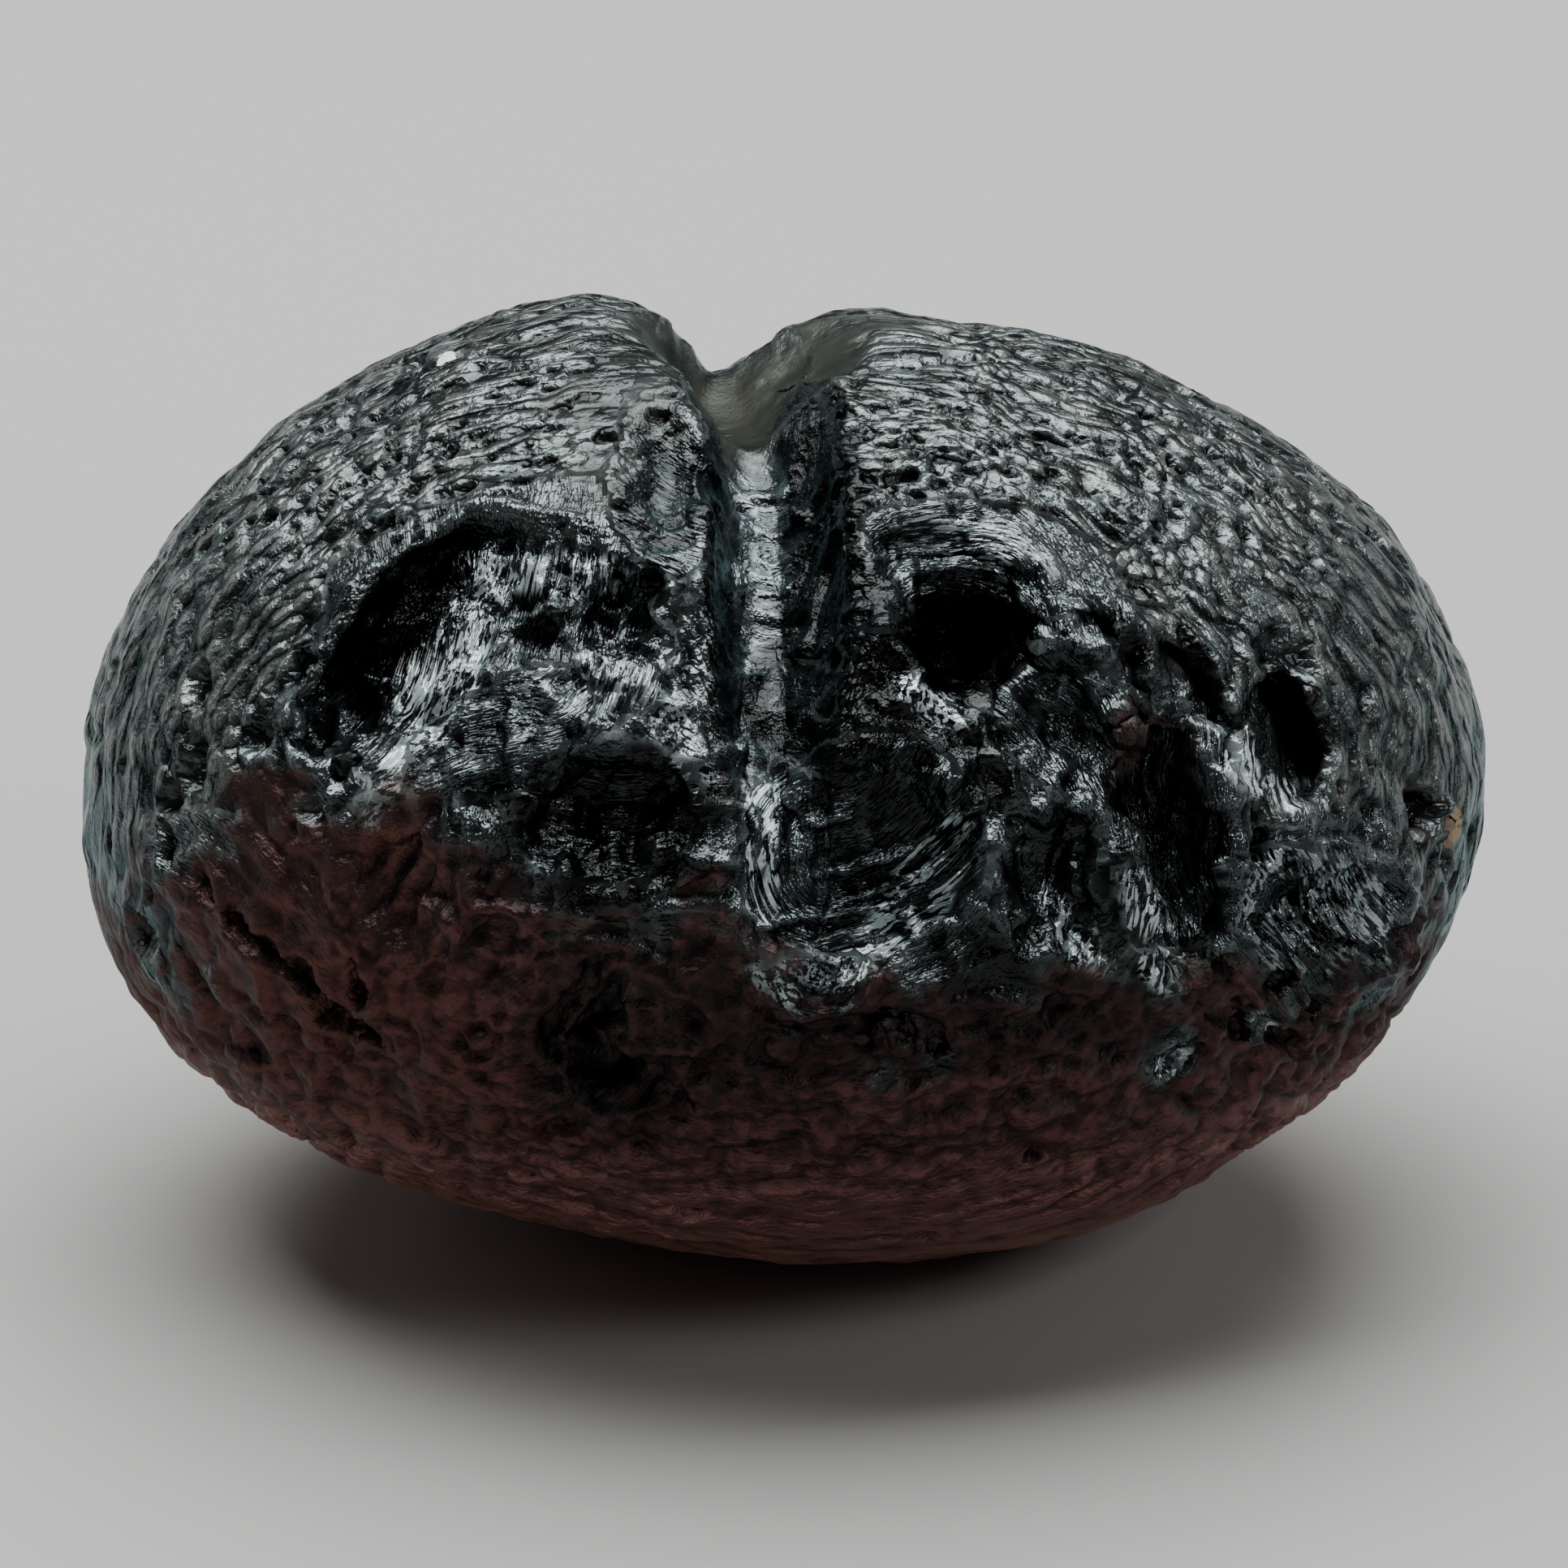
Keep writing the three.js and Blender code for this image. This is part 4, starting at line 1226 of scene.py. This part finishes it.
def write_vector(mesh, name, values):
    made = mesh.attributes.new(name, "FLOAT_VECTOR", "POINT")
    made.data.foreach_set("vector", values.astype(np.float32).ravel())


rough_mesh = make_mesh("rough_skin", skin.points, skin.quads)
print("rough mesh of", len(rough_mesh.vertices), "corners")

# %% [markdown]
# ## The grain of the skin
# The pads of the leather are longer than they are wide, and follow the rim round the stone or
# wide arcs above the bowls. As with the flow, cells read at a squeezed place come out long.
# The scattered pits lie the same way, so the direction is kept as an attribute too.

# %% Grain
GRAIN_STRETCH = 2.1
GRAIN_RIM_REACH, GRAIN_TIP_REACH = 20, 19    # turn angles into mm, as for the flow
GRAIN_CENTRE = (-4.0, -12.0)                 # of the arcs above the bowls
ARC_REACH, ARC_SHIFT = 24, 60                # mm to an angle of 1, and apart from the rest


def measure_grain(points):
    """A place in the grain, which is drawn out along the rim, and the way that it runs.

    Above the bowls it runs in wide arcs over the groove.
    """
    u, v, w = points.T
    round_rim = np.arctan2(v, u)
    tip = np.arccos(np.clip(w / np.linalg.norm(points, axis=1), -1, 1))
    reach = GRAIN_RIM_REACH / GRAIN_STRETCH
    place = np.stack([
        reach * np.cos(round_rim), reach * np.sin(round_rim), GRAIN_TIP_REACH * tip,
    ], axis=1)
    slack = 0.5 * np.stack([cloud(u, v, w, 3.0, 20 + k) for k in range(3)], axis=1)
    way = np.stack([-np.sin(round_rim), np.cos(round_rim), 0 * u], axis=1) @ FACE_AXES
    shake = 1.5 * cloud(u, v, w, 2.0, 23)
    zone = (np.abs(u + shake) < 13) & (v + shake > 5.5) & (w > 0)
    turn = np.arctan2(u - GRAIN_CENTRE[0], v - GRAIN_CENTRE[1])
    away = np.hypot(u - GRAIN_CENTRE[0], v - GRAIN_CENTRE[1])
    arcs = np.stack([ARC_REACH / GRAIN_STRETCH * turn + ARC_SHIFT, away, w], axis=1)
    place = np.where(zone[:, None], arcs, place)
    along = np.stack([np.cos(turn), -np.sin(turn), 0 * u], axis=1) @ FACE_AXES
    way = np.where(zone[:, None], along, way)
    return place + slack, way


def measure_leather(points):
    """1 on the outer skin and 0 in the hollows."""
    _, strength, deep = measure_flow(points)
    u, v, w = points.T
    outside = soft_step(0.9, 0.25, deep) * (1 - 0.75 * measure_glossy(points))
    outside = outside * (1 - 0.6 * soft_step(0.4, 0.8, strength))
    return np.where(w > -3, outside, 1.0) * (1 - 0.8 * measure_saddle(points))


def measure_pit_zone(points):
    """How thickly the small pits lie: most above the bowls, few on the underside."""
    u, v, w = points.T
    above = soft_step(6.5, 9.0, v) * soft_step(16.5, 14.0, v) * soft_step(0, 4, w)
    right = soft_step(14.0, 16.0, u) * soft_step(0.0, -2.0, v) * soft_step(2, 6, w)
    middle = soft_step(6.5, 8.0, u) * soft_step(4.0, 2.0, v) * soft_step(8, 11, w)
    base = 0.06 * np.where(w > 0, soft_step(-7, -3, v), 1.0)
    zone = base + 0.94 * np.maximum(above, np.maximum(right, 0.8 * middle))
    return zone * (0.05 + 0.95 * measure_leather(points))


rough_points = read_points(rough_mesh)
grain_place, grain_way = measure_grain(rough_points)
write_vector(rough_mesh, "grain", grain_place)
write_vector(rough_mesh, "grain_way", grain_way)
write_number(rough_mesh, "leather", measure_leather(rough_points))
write_number(rough_mesh, "pit_zone", measure_pit_zone(rough_points))
print("attributes for the trees:", [a.name for a in rough_mesh.attributes])

# %% [markdown]
# ## The leather
# Air wore the hot skin into small pads with creases between them, like leather. A cell pattern
# gives the distance to the middle of the nearest pad, and its square makes the pad round. A
# second, broad pattern lifts the skin in gentle swells. All sizes are inputs, in millimetres.

# %% Leather tree
LEATHER = {"Cell": 0.85, "Depth": 0.34, "Broad Cell": 3.0, "Broad Depth": 0.16}
leather_tree, board, wires, leather_keys = make_tree("leather_skin", LEATHER)
grain = read_attribute(board, "grain", "FLOAT_VECTOR")
leather = read_attribute(board, "leather", "FLOAT")
in_mm = board.scaled(board.wire("GeometryNodeInputPosition"), 1 / MM)
fine = board.cells(grain, wires["Cell"]) * wires["Depth"] * leather
broad = board.cells(in_mm, wires["Broad Cell"]) * wires["Broad Depth"] * (0.25 + 0.75 * leather)
lift = (0.3 * wires["Depth"] * leather - fine + broad) * MM
end_tree(board, lift_corners(board, wires["Geometry"], lift), glass)
print("leather tree of", len(leather_tree.nodes), "nodes")

# %% [markdown]
# ## Scattered pits
# Small bubbles just under the skin opened as pits, thick above the bowls and rare underneath.
# The tree scatters points over the skin, no two nearer than the spacing. Each corner finds its
# nearest point, and is pressed in if it lies within that point's ellipse. This way the pits
# are dents in the one skin, with no faces of their own.

# %% Pit tree
SMALL_PITS = {
    "Spacing": 0.45, "Density": 1.8, "Length": 0.34, "Width": 0.15, "Depth": 0.22, "Seed": 5,
}
pit_tree, board, wires, pit_keys = make_tree("small_pits", SMALL_PITS)
zone = read_attribute(board, "pit_zone", "FLOAT")
way = read_attribute(board, "grain_way", "FLOAT_VECTOR")
position = board.wire("GeometryNodeInputPosition")
points = board.wire(
    "GeometryNodeDistributePointsOnFaces", {"distribute_method": "POISSON"},
    {"Mesh": wires["Geometry"], "Distance Min": wires["Spacing"] * MM,
     "Density Max": wires["Density"] / MM**2, "Density Factor": zone, "Seed": wires["Seed"]},
)
nearest = board.wire(
    "GeometryNodeSampleNearest", {"domain": "POINT"},
    {"Geometry": points, "Sample Position": position},
)


def at_pit(value, data_type):
    """A value of the nearest scattered point."""
    return board.wire(
        "GeometryNodeSampleIndex", {"data_type": data_type, "domain": "POINT"},
        {"Geometry": points, "Value": value, "Index": nearest},
    )


LEAST_SIZE, MOST_SIZE = 0.5, 1.8
size = at_pit(board.wire(
    "FunctionNodeRandomValue", {"data_type": "FLOAT"},
    {2: LEAST_SIZE, 3: MOST_SIZE, "Seed": wires["Seed"]}, 1,
), "FLOAT")
away = board.vector("SUBTRACT", position, at_pit(position, "FLOAT_VECTOR"))
pit_way = at_pit(way, "FLOAT_VECTOR")
along = board.vector("DOT_PRODUCT", away, pit_way, out=1) / MM
far = board.vector("LENGTH", away, out=1) / MM
aside_squared = (far * far - along * along).at_least(0)
share = (along / (wires["Length"] * size)) ** 2 + aside_squared / (wires["Width"] * size) ** 2
inside = (1 - share).at_least(0) ** 0.75
lift = inside * (wires["Depth"] * size * -MM)
end_tree(board, lift_corners(board, wires["Geometry"], lift), glass)
print("pit tree of", len(pit_tree.nodes), "nodes")

# %% [markdown]
# ## Apply the trees, then thin the mesh
# The lattice gives many more faces than the stone needs on its smooth parts. A Decimate
# modifier after the trees takes out those that say least, which keeps the triangles for the
# creases and the broken glass. The result becomes a plain mesh, because an export takes no
# modifiers along.

# %% Apply the trees, then thin the mesh
MOST_TRIANGLES = 196000
rough = bpy.data.objects.new("rough_skin", rough_mesh)
bpy.context.scene.collection.objects.link(rough)
add_tree(rough, leather_tree, leather_keys, LEATHER)
add_tree(rough, pit_tree, pit_keys, SMALL_PITS)
thin = rough.modifiers.new("thin", "DECIMATE")
thin.ratio = min(1, MOST_TRIANGLES / (2 * len(skin.quads)))
evaluated = rough.evaluated_get(bpy.context.evaluated_depsgraph_get())
stone_mesh = bpy.data.meshes.new_from_object(evaluated)
stone_mesh.name = "tektite_skin"
bpy.data.objects.remove(rough)
stone_points = read_points(stone_mesh)
placed = to_frame(stone_points)
stone_mesh.vertices.foreach_set("co", (placed * MM).astype(np.float32).ravel())
stone_mesh.update()
stone_mesh.shade_smooth()
for name in ("grain", "grain_way", "leather", "pit_zone"):
    if name in stone_mesh.attributes:
        stone_mesh.attributes.remove(stone_mesh.attributes[name])
stone_mesh.calc_loop_triangles()
print("stone:", len(stone_mesh.vertices), "corners,", len(stone_mesh.loop_triangles), "triangles")

stone = bpy.data.objects.new("tektite_skin", stone_mesh)
bpy.context.scene.collection.objects.link(stone)
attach(stone, "root")
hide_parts("tektite")

# %% [markdown]
# ## Masks for the finish
# The finish changes with the relief: dull leather outside, gloss in the hollows, lines along
# the flow. The same functions that shaped the stone are measured again on its final corners
# and kept as attributes, so colour and shape can't drift apart.

# %% Masks for the finish
u, v, w = stone_points.T
place, strength, deep = measure_flow(stone_points)
grain_place, _ = measure_grain(stone_points)
write_vector(stone_mesh, "grain", grain_place)
write_vector(stone_mesh, "flow", place)
in_groove = soft_step(2.9, 2.5, np.abs(groove_place(u, v, w)[1])) * soft_step(2.5, 4.5, v)
write_number(stone_mesh, "flow_strength", strength * (1 - 0.55 * in_groove))
write_number(stone_mesh, "leather", measure_leather(stone_points))
# painted shade on dark patches, and painted highlights on pale steps
write_number(stone_mesh, "painted_shade", patch_strength(stone_points, PAINTED_SHADE_PATCHES))
write_number(stone_mesh, "painted_highlight", patch_strength(stone_points, PAINTED_HIGHLIGHT_STEPS))
write_number(stone_mesh, "saddle", measure_saddle(stone_points))
write_number(stone_mesh, "hollow", soft_step(0.2, 1.2, deep) * soft_step(-4, 0, w))
print("share of the corners in hollows:", round(float((deep > 0.7).mean()), 2))

# %% [markdown]
# ## Where the soil stained it
# The underside is red-brown up to a torn line, with a few spots above it and a few bare ones in it:
# partly a soil stain, and partly a painted reflection of warm light from below. The line is a table
# along the face, shaken by noise of three sizes. Behind, the red is simply what lay low.

# %% The stain and painted reflection
# [u, v of the red's upper edge]
STAIN_AND_REFLECTION_EDGE = np.array([
    [-25, -4], [-22, -2.2], [-18, -0.8], [-13, -0.5], [-8, -3], [-4, -5.3], [4, -7.4], [12, -7],
    [25, -5],
])
# [u, v, reach]
RUST_SPOTS = [[12.8, 1.2, 1.9], [22.4, -1.1, 1.3]]
BARE_SPOTS = [[-22.0, -5.6, 2.9], [13.7, -9.6, 1.2], [17.0, -8.6, 1.1]]


def spot_strength(spot_u, spot_v, size, shake):
    """1 within a spot of the face and 0 past its ragged edge."""
    near = np.linalg.norm(stone_points - on_face(spot_u, spot_v), axis=1) + shake
    return soft_step(size, 0.7 * size, near)


edge = np.interp(u, *STAIN_AND_REFLECTION_EDGE.T)
torn = clouds(u, v, w, [[1.6, 2.6, 30], [1.1, 1.1, 32], [0.6, 0.5, 33]])
front_stain_and_reflection = soft_step(1.2, -1.2, v - edge + torn)
back_stain_and_reflection = soft_step(8.0, 4.5, placed[:, 2] + torn)
facing = soft_step(-5, 3, w + torn)
stain_and_reflection = back_stain_and_reflection + (front_stain_and_reflection - back_stain_and_reflection) * facing
for *spot, size in RUST_SPOTS:
    shake = 0.4 * cloud(u, v, w, 0.8, 31)
    stain_and_reflection = np.maximum(stain_and_reflection, 0.85 * spot_strength(*spot, size, shake))
for *spot, size in BARE_SPOTS:
    stain_and_reflection = stain_and_reflection * (1 - spot_strength(*spot, size, 0.17 * size * torn))
# the red-brown: a soil stain, and a painted reflection of warm light from below
write_number(stone_mesh, "stain_and_reflection", stain_and_reflection)
ochre = soft_step(-11.5, -15.0, u + 0.45 * v + torn) * soft_step(-5, 2, w)
write_number(stone_mesh, "ochre", ochre)
print("share of the corners stained:", round(float((stain_and_reflection > 0.5).mean()), 2))

# %% [markdown]
# ## Gaps and tilts
# Shade is painted into gaps and onto slopes that face down. A corner lies in a gap when the mean of
# its neighbours stands out over it, which the mesh's own edges can tell. The same mean, taken many
# times over, smooths the tilt of the skin until only the whole underside counts as beneath.

# %% Gaps and tilts
GAP_SIZE = (-0.008, 0.022)    # how far the neighbours stand out, in mm, from none to a full gap
SMOOTHINGS = 12
ends = np.empty(2 * len(stone_mesh.edges), np.int32)
stone_mesh.edges.foreach_get("vertices", ends)
one, two = ends.reshape(-1, 2).T
normals = np.empty(3 * len(stone_mesh.vertices), np.float32)
stone_mesh.vertices.foreach_get("normal", normals)
normals = normals.reshape(-1, 3)
count = np.bincount(one, minlength=len(u)) + np.bincount(two, minlength=len(u))


def neighbours_mean(values):
    """Each corner's mean over the corners that share an edge with it."""
    return (np.bincount(one, values[two], len(u)) + np.bincount(two, values[one], len(u))) / count


around = np.stack([neighbours_mean(placed[:, k]) for k in range(3)], axis=1)
sunken = ((around - placed) * normals).sum(1)
sunken = 0.5 * sunken + 0.5 * neighbours_mean(sunken)
# painted shade in gaps
write_number(stone_mesh, "gap", soft_step(*GAP_SIZE, sunken))
# painted shade on facets that face down
write_number(stone_mesh, "low", soft_step(0.32, 0.0, normals[:, 2]))
broad_tilt = normals[:, 2]
for _ in range(SMOOTHINGS):
    broad_tilt = neighbours_mean(broad_tilt)
# painted light: the whole underside, painted a lighter red
write_number(stone_mesh, "beneath", soft_step(-0.6, -0.9, broad_tilt))
print("corners in gaps:", int((sunken > GAP_SIZE[1]).sum()))

# %% [markdown]
# ## Black glass
# Natural glass is nearly black, a little green where the weathered skin is thin, and red-brown
# underneath, partly from a soil stain and partly as a painted reflection of warm light. The gloss
# is strongest in the burst hollows, whose walls froze last. Colour, roughness and a fine bump come
# from the masks and the flow, and all of it is one material, because the stone is one piece.

# %% Masks and patterns in the material
glass.use_nodes = True
board = Board(glass.node_tree)
shader = glass.node_tree.nodes["Principled BSDF"]


def read_mask(name, out=2):
    return board.wire("ShaderNodeAttribute", {"attribute_name": name}, {}, out)


grain, flow = read_mask("grain", 1), read_mask("flow", 1)
place = board.wire("ShaderNodeTexCoord", {}, {}, 3)
flow_strength, hollow = read_mask("flow_strength"), read_mask("hollow")
leather, stain_and_reflection = read_mask("leather"), read_mask("stain_and_reflection")
gap, low, painted_shade, saddle = (read_mask(name) for name in ("gap", "low", "painted_shade", "saddle"))
painted_highlight, ochre, beneath = (read_mask(name) for name in ("painted_highlight", "ochre", "beneath"))


def noise(vector, size, detail=2.0):
    """Noise from 0 to 1 with bumps of a size, in the unit of its vector."""
    values = {"Vector": vector, "Scale": 1 / size, "Detail": detail}
    return board.wire("ShaderNodeTexNoise", {}, values)


def crest(value):
    """Sharp crests where a noise passes its middle."""
    return 1 - value.maths("ABSOLUTE", value * 4 - 2).at_most(1)


def distance_to(u, v):
    """Distance in mm from the corner of the front that lies nearest to a point of the face."""
    away = np.hypot(stone_points[:, 0] - u, stone_points[:, 1] - v) + 99 * (stone_points[:, 2] < 0)
    return board.vector("DISTANCE", place, tuple(placed[np.argmin(away)] * MM), out=1) / MM


patches = noise(place, 1.6 * MM, 3.0)
mottle = noise(place, 0.5 * MM, 3.0)
crumbs = noise(place, 0.22 * MM, 1.0)
print("patterns and masks:", len(board.tree.nodes), "nodes")

# %% [markdown]
# ## Painted shade and painted highlights
# A flat mirror of glass shows the dark room, and a crest that leans to the light shows the light.
# Very fine lines can't all be modelled, so their light and dark are painted here: painted shade in
# gaps, creases, on down-facing slopes and on dark patches, painted highlights as lit lines along
# the flow, and painted highlights where a torn edge is pale.

# %% Painted shade and painted highlights
CLAY_PLACE, SPECK_PLACE = (23.4, -1.5), (-11.9, 15.1)    # u, v of a crumb of clay and a speck
clay = board.ramp(distance_to(*CLAY_PLACE) + 0.9 * patches, 1.35, 1.15)
clay = clay * board.ramp(crumbs, 0.33, 0.43)
speck = board.ramp(distance_to(*SPECK_PLACE) + 0.3 * mottle, 0.58, 0.5)
lines = crest(noise(flow, 0.21, 2.0))
# painted highlights: lines along the flow that lift the painted shade
lit_lines = board.ramp(lines, 0.45, 0.8) * board.ramp(noise(place, 1.2 * MM, 2.0), 0.4, 0.6)
# painted highlights on the pale steps, cut into fine lines along the flow
painted_highlight = painted_highlight * board.ramp(noise(flow, 0.5, 2.0), 0.43, 0.48)
painted_highlight = painted_highlight * board.ramp(noise(flow, 0.14, 2.0), 0.47, 0.515)
# painted shade on the dark patches, broken by painted highlights along the lit lines
dark = (painted_shade - 0.85 * lit_lines * (0.3 + 0.7 * flow_strength)).at_least(0).at_most(1)
saddle = saddle * (1 - dark)
pads = board.cells(grain, 0.45)
# painted shade in the creases between the pads
creases = board.ramp(pads, 0.16, 0.42) * leather
# painted shade: gaps, down-facing slopes, dark patches and creases add up, the saddle adds its own
# darker tone, and pale steps lift it
shade = 1 - (1 - 0.75 * gap) * (1 - 0.7 * low) * (1 - dark) * (1 - 0.8 * creases)
shade = (1 - (1 - shade) * (1 - 0.7 * saddle)) * (1 - painted_highlight)
print("with the shade:", len(board.tree.nodes), "nodes")

# %% [markdown]
# ## Colours
# Each colour goes over the last by a mask, as coats of paint do: black glass, the grey-green of the
# weathered skin, the brown saddle, painted shade, painted highlights on the pale steps, then the
# red-brown. The red-brown is a colour of its own first: a stain and a painted warm reflection,
# painted lighter near the floor and beneath as painted light, and darkened by painted shade.

# %% Colours
# DARK is the colour of painted shade
DARK = (0.012, 0.012, 0.012, 1)
BLACK_GLASS = (0.008, 0.010, 0.012, 1)
GREEN_SKIN, BROWN_SKIN = (0.034, 0.044, 0.044, 1), (0.048, 0.048, 0.039, 1)
BROWN_SADDLE = (0.038, 0.039, 0.029, 1)
PAINTED_HIGHLIGHT_GREY = (0.44, 0.52, 0.53, 1)
DEEP_RED, CLEAR_RED = (0.040, 0.019, 0.019, 1), (0.092, 0.040, 0.038, 1)
OCHRE_RED = (0.105, 0.041, 0.032, 1)
# LOW_RED, LOWEST_RED and RED_BENEATH are painted light: lighter reds where the underside lies in
# the floor's shadow
LOW_RED, LOWEST_RED = (0.27, 0.125, 0.112, 1), (0.38, 0.24, 0.19, 1)
RED_BENEATH = (0.55, 0.26, 0.21, 1)
CLAY, SPECK = (0.22, 0.13, 0.06, 1), (0.7, 0.72, 0.7, 1)

skin_colour = board.blend(board.ramp(patches, 0.35, 0.65), GREEN_SKIN, BROWN_SKIN)
colour = board.blend(leather * (0.6 + 0.4 * mottle), BLACK_GLASS, skin_colour)
colour = board.blend(saddle, colour, BROWN_SADDLE)
# painted shade: where it is strong the colour goes to DARK
colour = board.blend(shade * (1 - 0.9 * saddle), colour, DARK)
# painted highlights: the pale steps are painted pale grey
colour = board.blend(painted_highlight, colour, PAINTED_HIGHLIGHT_GREY)
red = board.blend(board.ramp(mottle, 0.35, 0.65), DEEP_RED, CLEAR_RED)
# painted light: the red is painted lighter near the floor and on the whole underside
above_floor = board.vector("DOT_PRODUCT", place, (0, 0, 1), out=1) / MM
red = board.blend(0.6 * ochre, red, OCHRE_RED)
red = board.blend(board.ramp(above_floor, 11, 5), red, LOW_RED)
red = board.blend(0.7 * board.ramp(above_floor, 4.5, 2.5), red, LOWEST_RED)
red = board.blend(beneath, red, RED_BENEATH)
# painted shade on the red: gaps, dark patches and faces that look up are painted darker
red_unshaded = (1 - 0.6 * gap) * (0.45 + 0.55 * low) * (1 - 0.7 * painted_shade.at_most(1))
red = board.blend(1 - red_unshaded, red, DARK)
# the red-brown: a stain, and a painted warm reflection
stain_and_reflection_cover = stain_and_reflection * board.ramp(patches, 0.15, 0.45)
colour = board.blend(stain_and_reflection_cover, colour, red)
colour = board.blend(clay, colour, CLAY)
colour = board.blend(speck, colour, SPECK)
print("with the colours:", len(board.tree.nodes), "nodes")

# %% [markdown]
# ## Gloss and fine relief
# A metal with a dark colour reflects only that colour, so Metallic dims the gloss where shade is
# painted, and tints it red-brown on the underside, a stain that also paints a warm reflection.
# Relief too fine for the mesh is a bump: lines along the flow, creases between the pads, and a fine
# crust. The index of refraction and the tint are the same all over, so they are set on the shader
# itself.

# %% Gloss and fine relief
REFRACTION = 1.9
COOL_TINT = (0.80, 0.98, 1.0, 1)
roughness = 0.12 + 0.10 * leather + 0.10 * patches + 0.3 * stain_and_reflection + 0.4 * clay + 0.3 * saddle
# painted shade dims the gloss, the red-brown tints it as a painted warm reflection, and the saddle
# dims it by its own tone
metallic = 1 - (1 - 0.92 * stain_and_reflection) * (1 - 0.96 * shade) * (1 - 0.6 * saddle)
metallic = metallic * (1 - clay) * (1 - speck)
in_flow = flow_strength * hollow
height = lines * flow_strength * (0.07 - 0.04 * stain_and_reflection)
worn = board.ramp(noise(place, 3.5 * MM, 1.0), 0.48, 0.6)
height = height - pads * leather * (0.24 - 0.12 * stain_and_reflection) * (1 - 0.5 * worn)
height = height + crest(mottle) * (0.04 - 0.03 * in_flow) * (1 - 0.8 * saddle)
height = height + noise(place, 0.16 * MM, 2.0) * 0.02
bump = board.wire("ShaderNodeBump", {}, {"Height": height, "Distance": MM, "Strength": 1.0})
for name, value in {
    "Base Color": colour, "Roughness": roughness, "Metallic": metallic, "Normal": bump,
}.items():
    board.tree.links.new(value.socket, shader.inputs[name])
shader.inputs["IOR"].default_value = REFRACTION
shader.inputs["Specular Tint"].default_value = COOL_TINT
print("the whole material:", len(board.tree.nodes), "nodes")

# %% [markdown]
# ## Floor
# The stone lies on a plain matt floor, wide enough that no edge shows. It only carries the shadow
# and a little light back to the underside, and isn't part of the stone.

# %% Floor
FLOOR_HALF = 3    # metres
FLOOR_COLOUR, FLOOR_ROUGHNESS = (0.3, 0.3, 0.294, 1), 0.9
floor_mesh = bpy.data.meshes.new("floor")
floor_mesh.from_pydata(
    [(x * FLOOR_HALF, y * FLOOR_HALF, 0) for x, y in ((-1, -1), (1, -1), (1, 1), (-1, 1))],
    [], [(0, 1, 2, 3)],
)
floor = bpy.data.objects.new("floor", floor_mesh)
bpy.context.scene.collection.objects.link(floor)
floor_paint = bpy.data.materials.new("pale_floor")
floor_paint.use_nodes = True
floor_shader = floor_paint.node_tree.nodes["Principled BSDF"]
floor_shader.inputs["Base Color"].default_value = FLOOR_COLOUR
floor_shader.inputs["Roughness"].default_value = FLOOR_ROUGHNESS
floor_mesh.materials.append(floor_paint)
print("floor of", 2 * FLOOR_HALF, "m")

# %% [markdown]
# ## Light
# Glossy black glass shows little but its lights, so each is a large soft square near the stone:
# a strong one overhead and a little behind, which draws every crest of the skin, weak ones on
# both sides for the rims, and one low in front for the bowls. A size and a brightness per area
# say more than watts, so the helper works out the power.

# %% Light
MIDDLE = Vector((0, 0, REST_DEPTH * MM))


def softbox(name, direction, distance, size, radiance):
    """A square light that looks at the stone from a direction."""
    lamp = bpy.data.lights.new(name, "AREA")
    lamp.shape = "RECTANGLE"
    lamp.size, lamp.size_y = size
    lamp.energy = radiance * math.pi * size[0] * size[1]
    made = bpy.data.objects.new(name, lamp)
    way = Vector(direction).normalized()
    made.location = MIDDLE + way * distance
    made.rotation_euler = (-way).to_track_quat("-Z", "Y").to_euler()
    bpy.context.scene.collection.objects.link(made)
    return made


# [name, direction, distance, size, radiance], in metres
SOFTBOXES = [
    ["overhead_softbox", (-0.07, 0.26, 0.966), 0.4, (0.48, 0.38), 10.5],
    ["left_softbox", (-0.72, 0.6, 0.35), 0.5, (0.2, 0.25), 1.5],
    ["right_softbox", (0.72, 0.6, 0.35), 0.5, (0.2, 0.25), 1.2],
    ["front_softbox", (0.7, -0.42, 0.58), 0.5, (0.17, 0.15), 9],
]
ROOM_COLOUR = (0.06, 0.06, 0.06, 1)
for row in SOFTBOXES:
    print(row[0], round(softbox(*row).data.energy, 2), "W")
world = bpy.data.worlds.new("studio")
world.use_nodes = True
world.node_tree.nodes["Background"].inputs["Color"].default_value = ROOM_COLOUR
bpy.context.scene.world = world

# %% [markdown]
# ## Camera
# The camera looks straight onto the broad face, from the same 25 degrees above level. A long
# lens from nearly half a metre away shows such a small stone without bending its outline.

# %% Camera
FOCAL_LENGTH, SENSOR_WIDTH = 300, 36    # mm
CAMERA_DISTANCE = 0.467                 # metres from the middle of the stone
lens = bpy.data.cameras.new("camera")
lens.lens = FOCAL_LENGTH
lens.sensor_width = SENSOR_WIDTH
eye = bpy.data.objects.new("camera", lens)
way = Vector((0, -math.cos(TILT), math.sin(TILT)))
eye.location = MIDDLE + way * CAMERA_DISTANCE
eye.rotation_euler = (-way).to_track_quat("-Z", "Y").to_euler()
lens.clip_start, lens.clip_end = 0.01, 20
bpy.context.scene.collection.objects.link(eye)
bpy.context.scene.camera = eye
print("camera at", [round(x, 3) for x in eye.location], "m")

# %% [markdown]
# ## The end
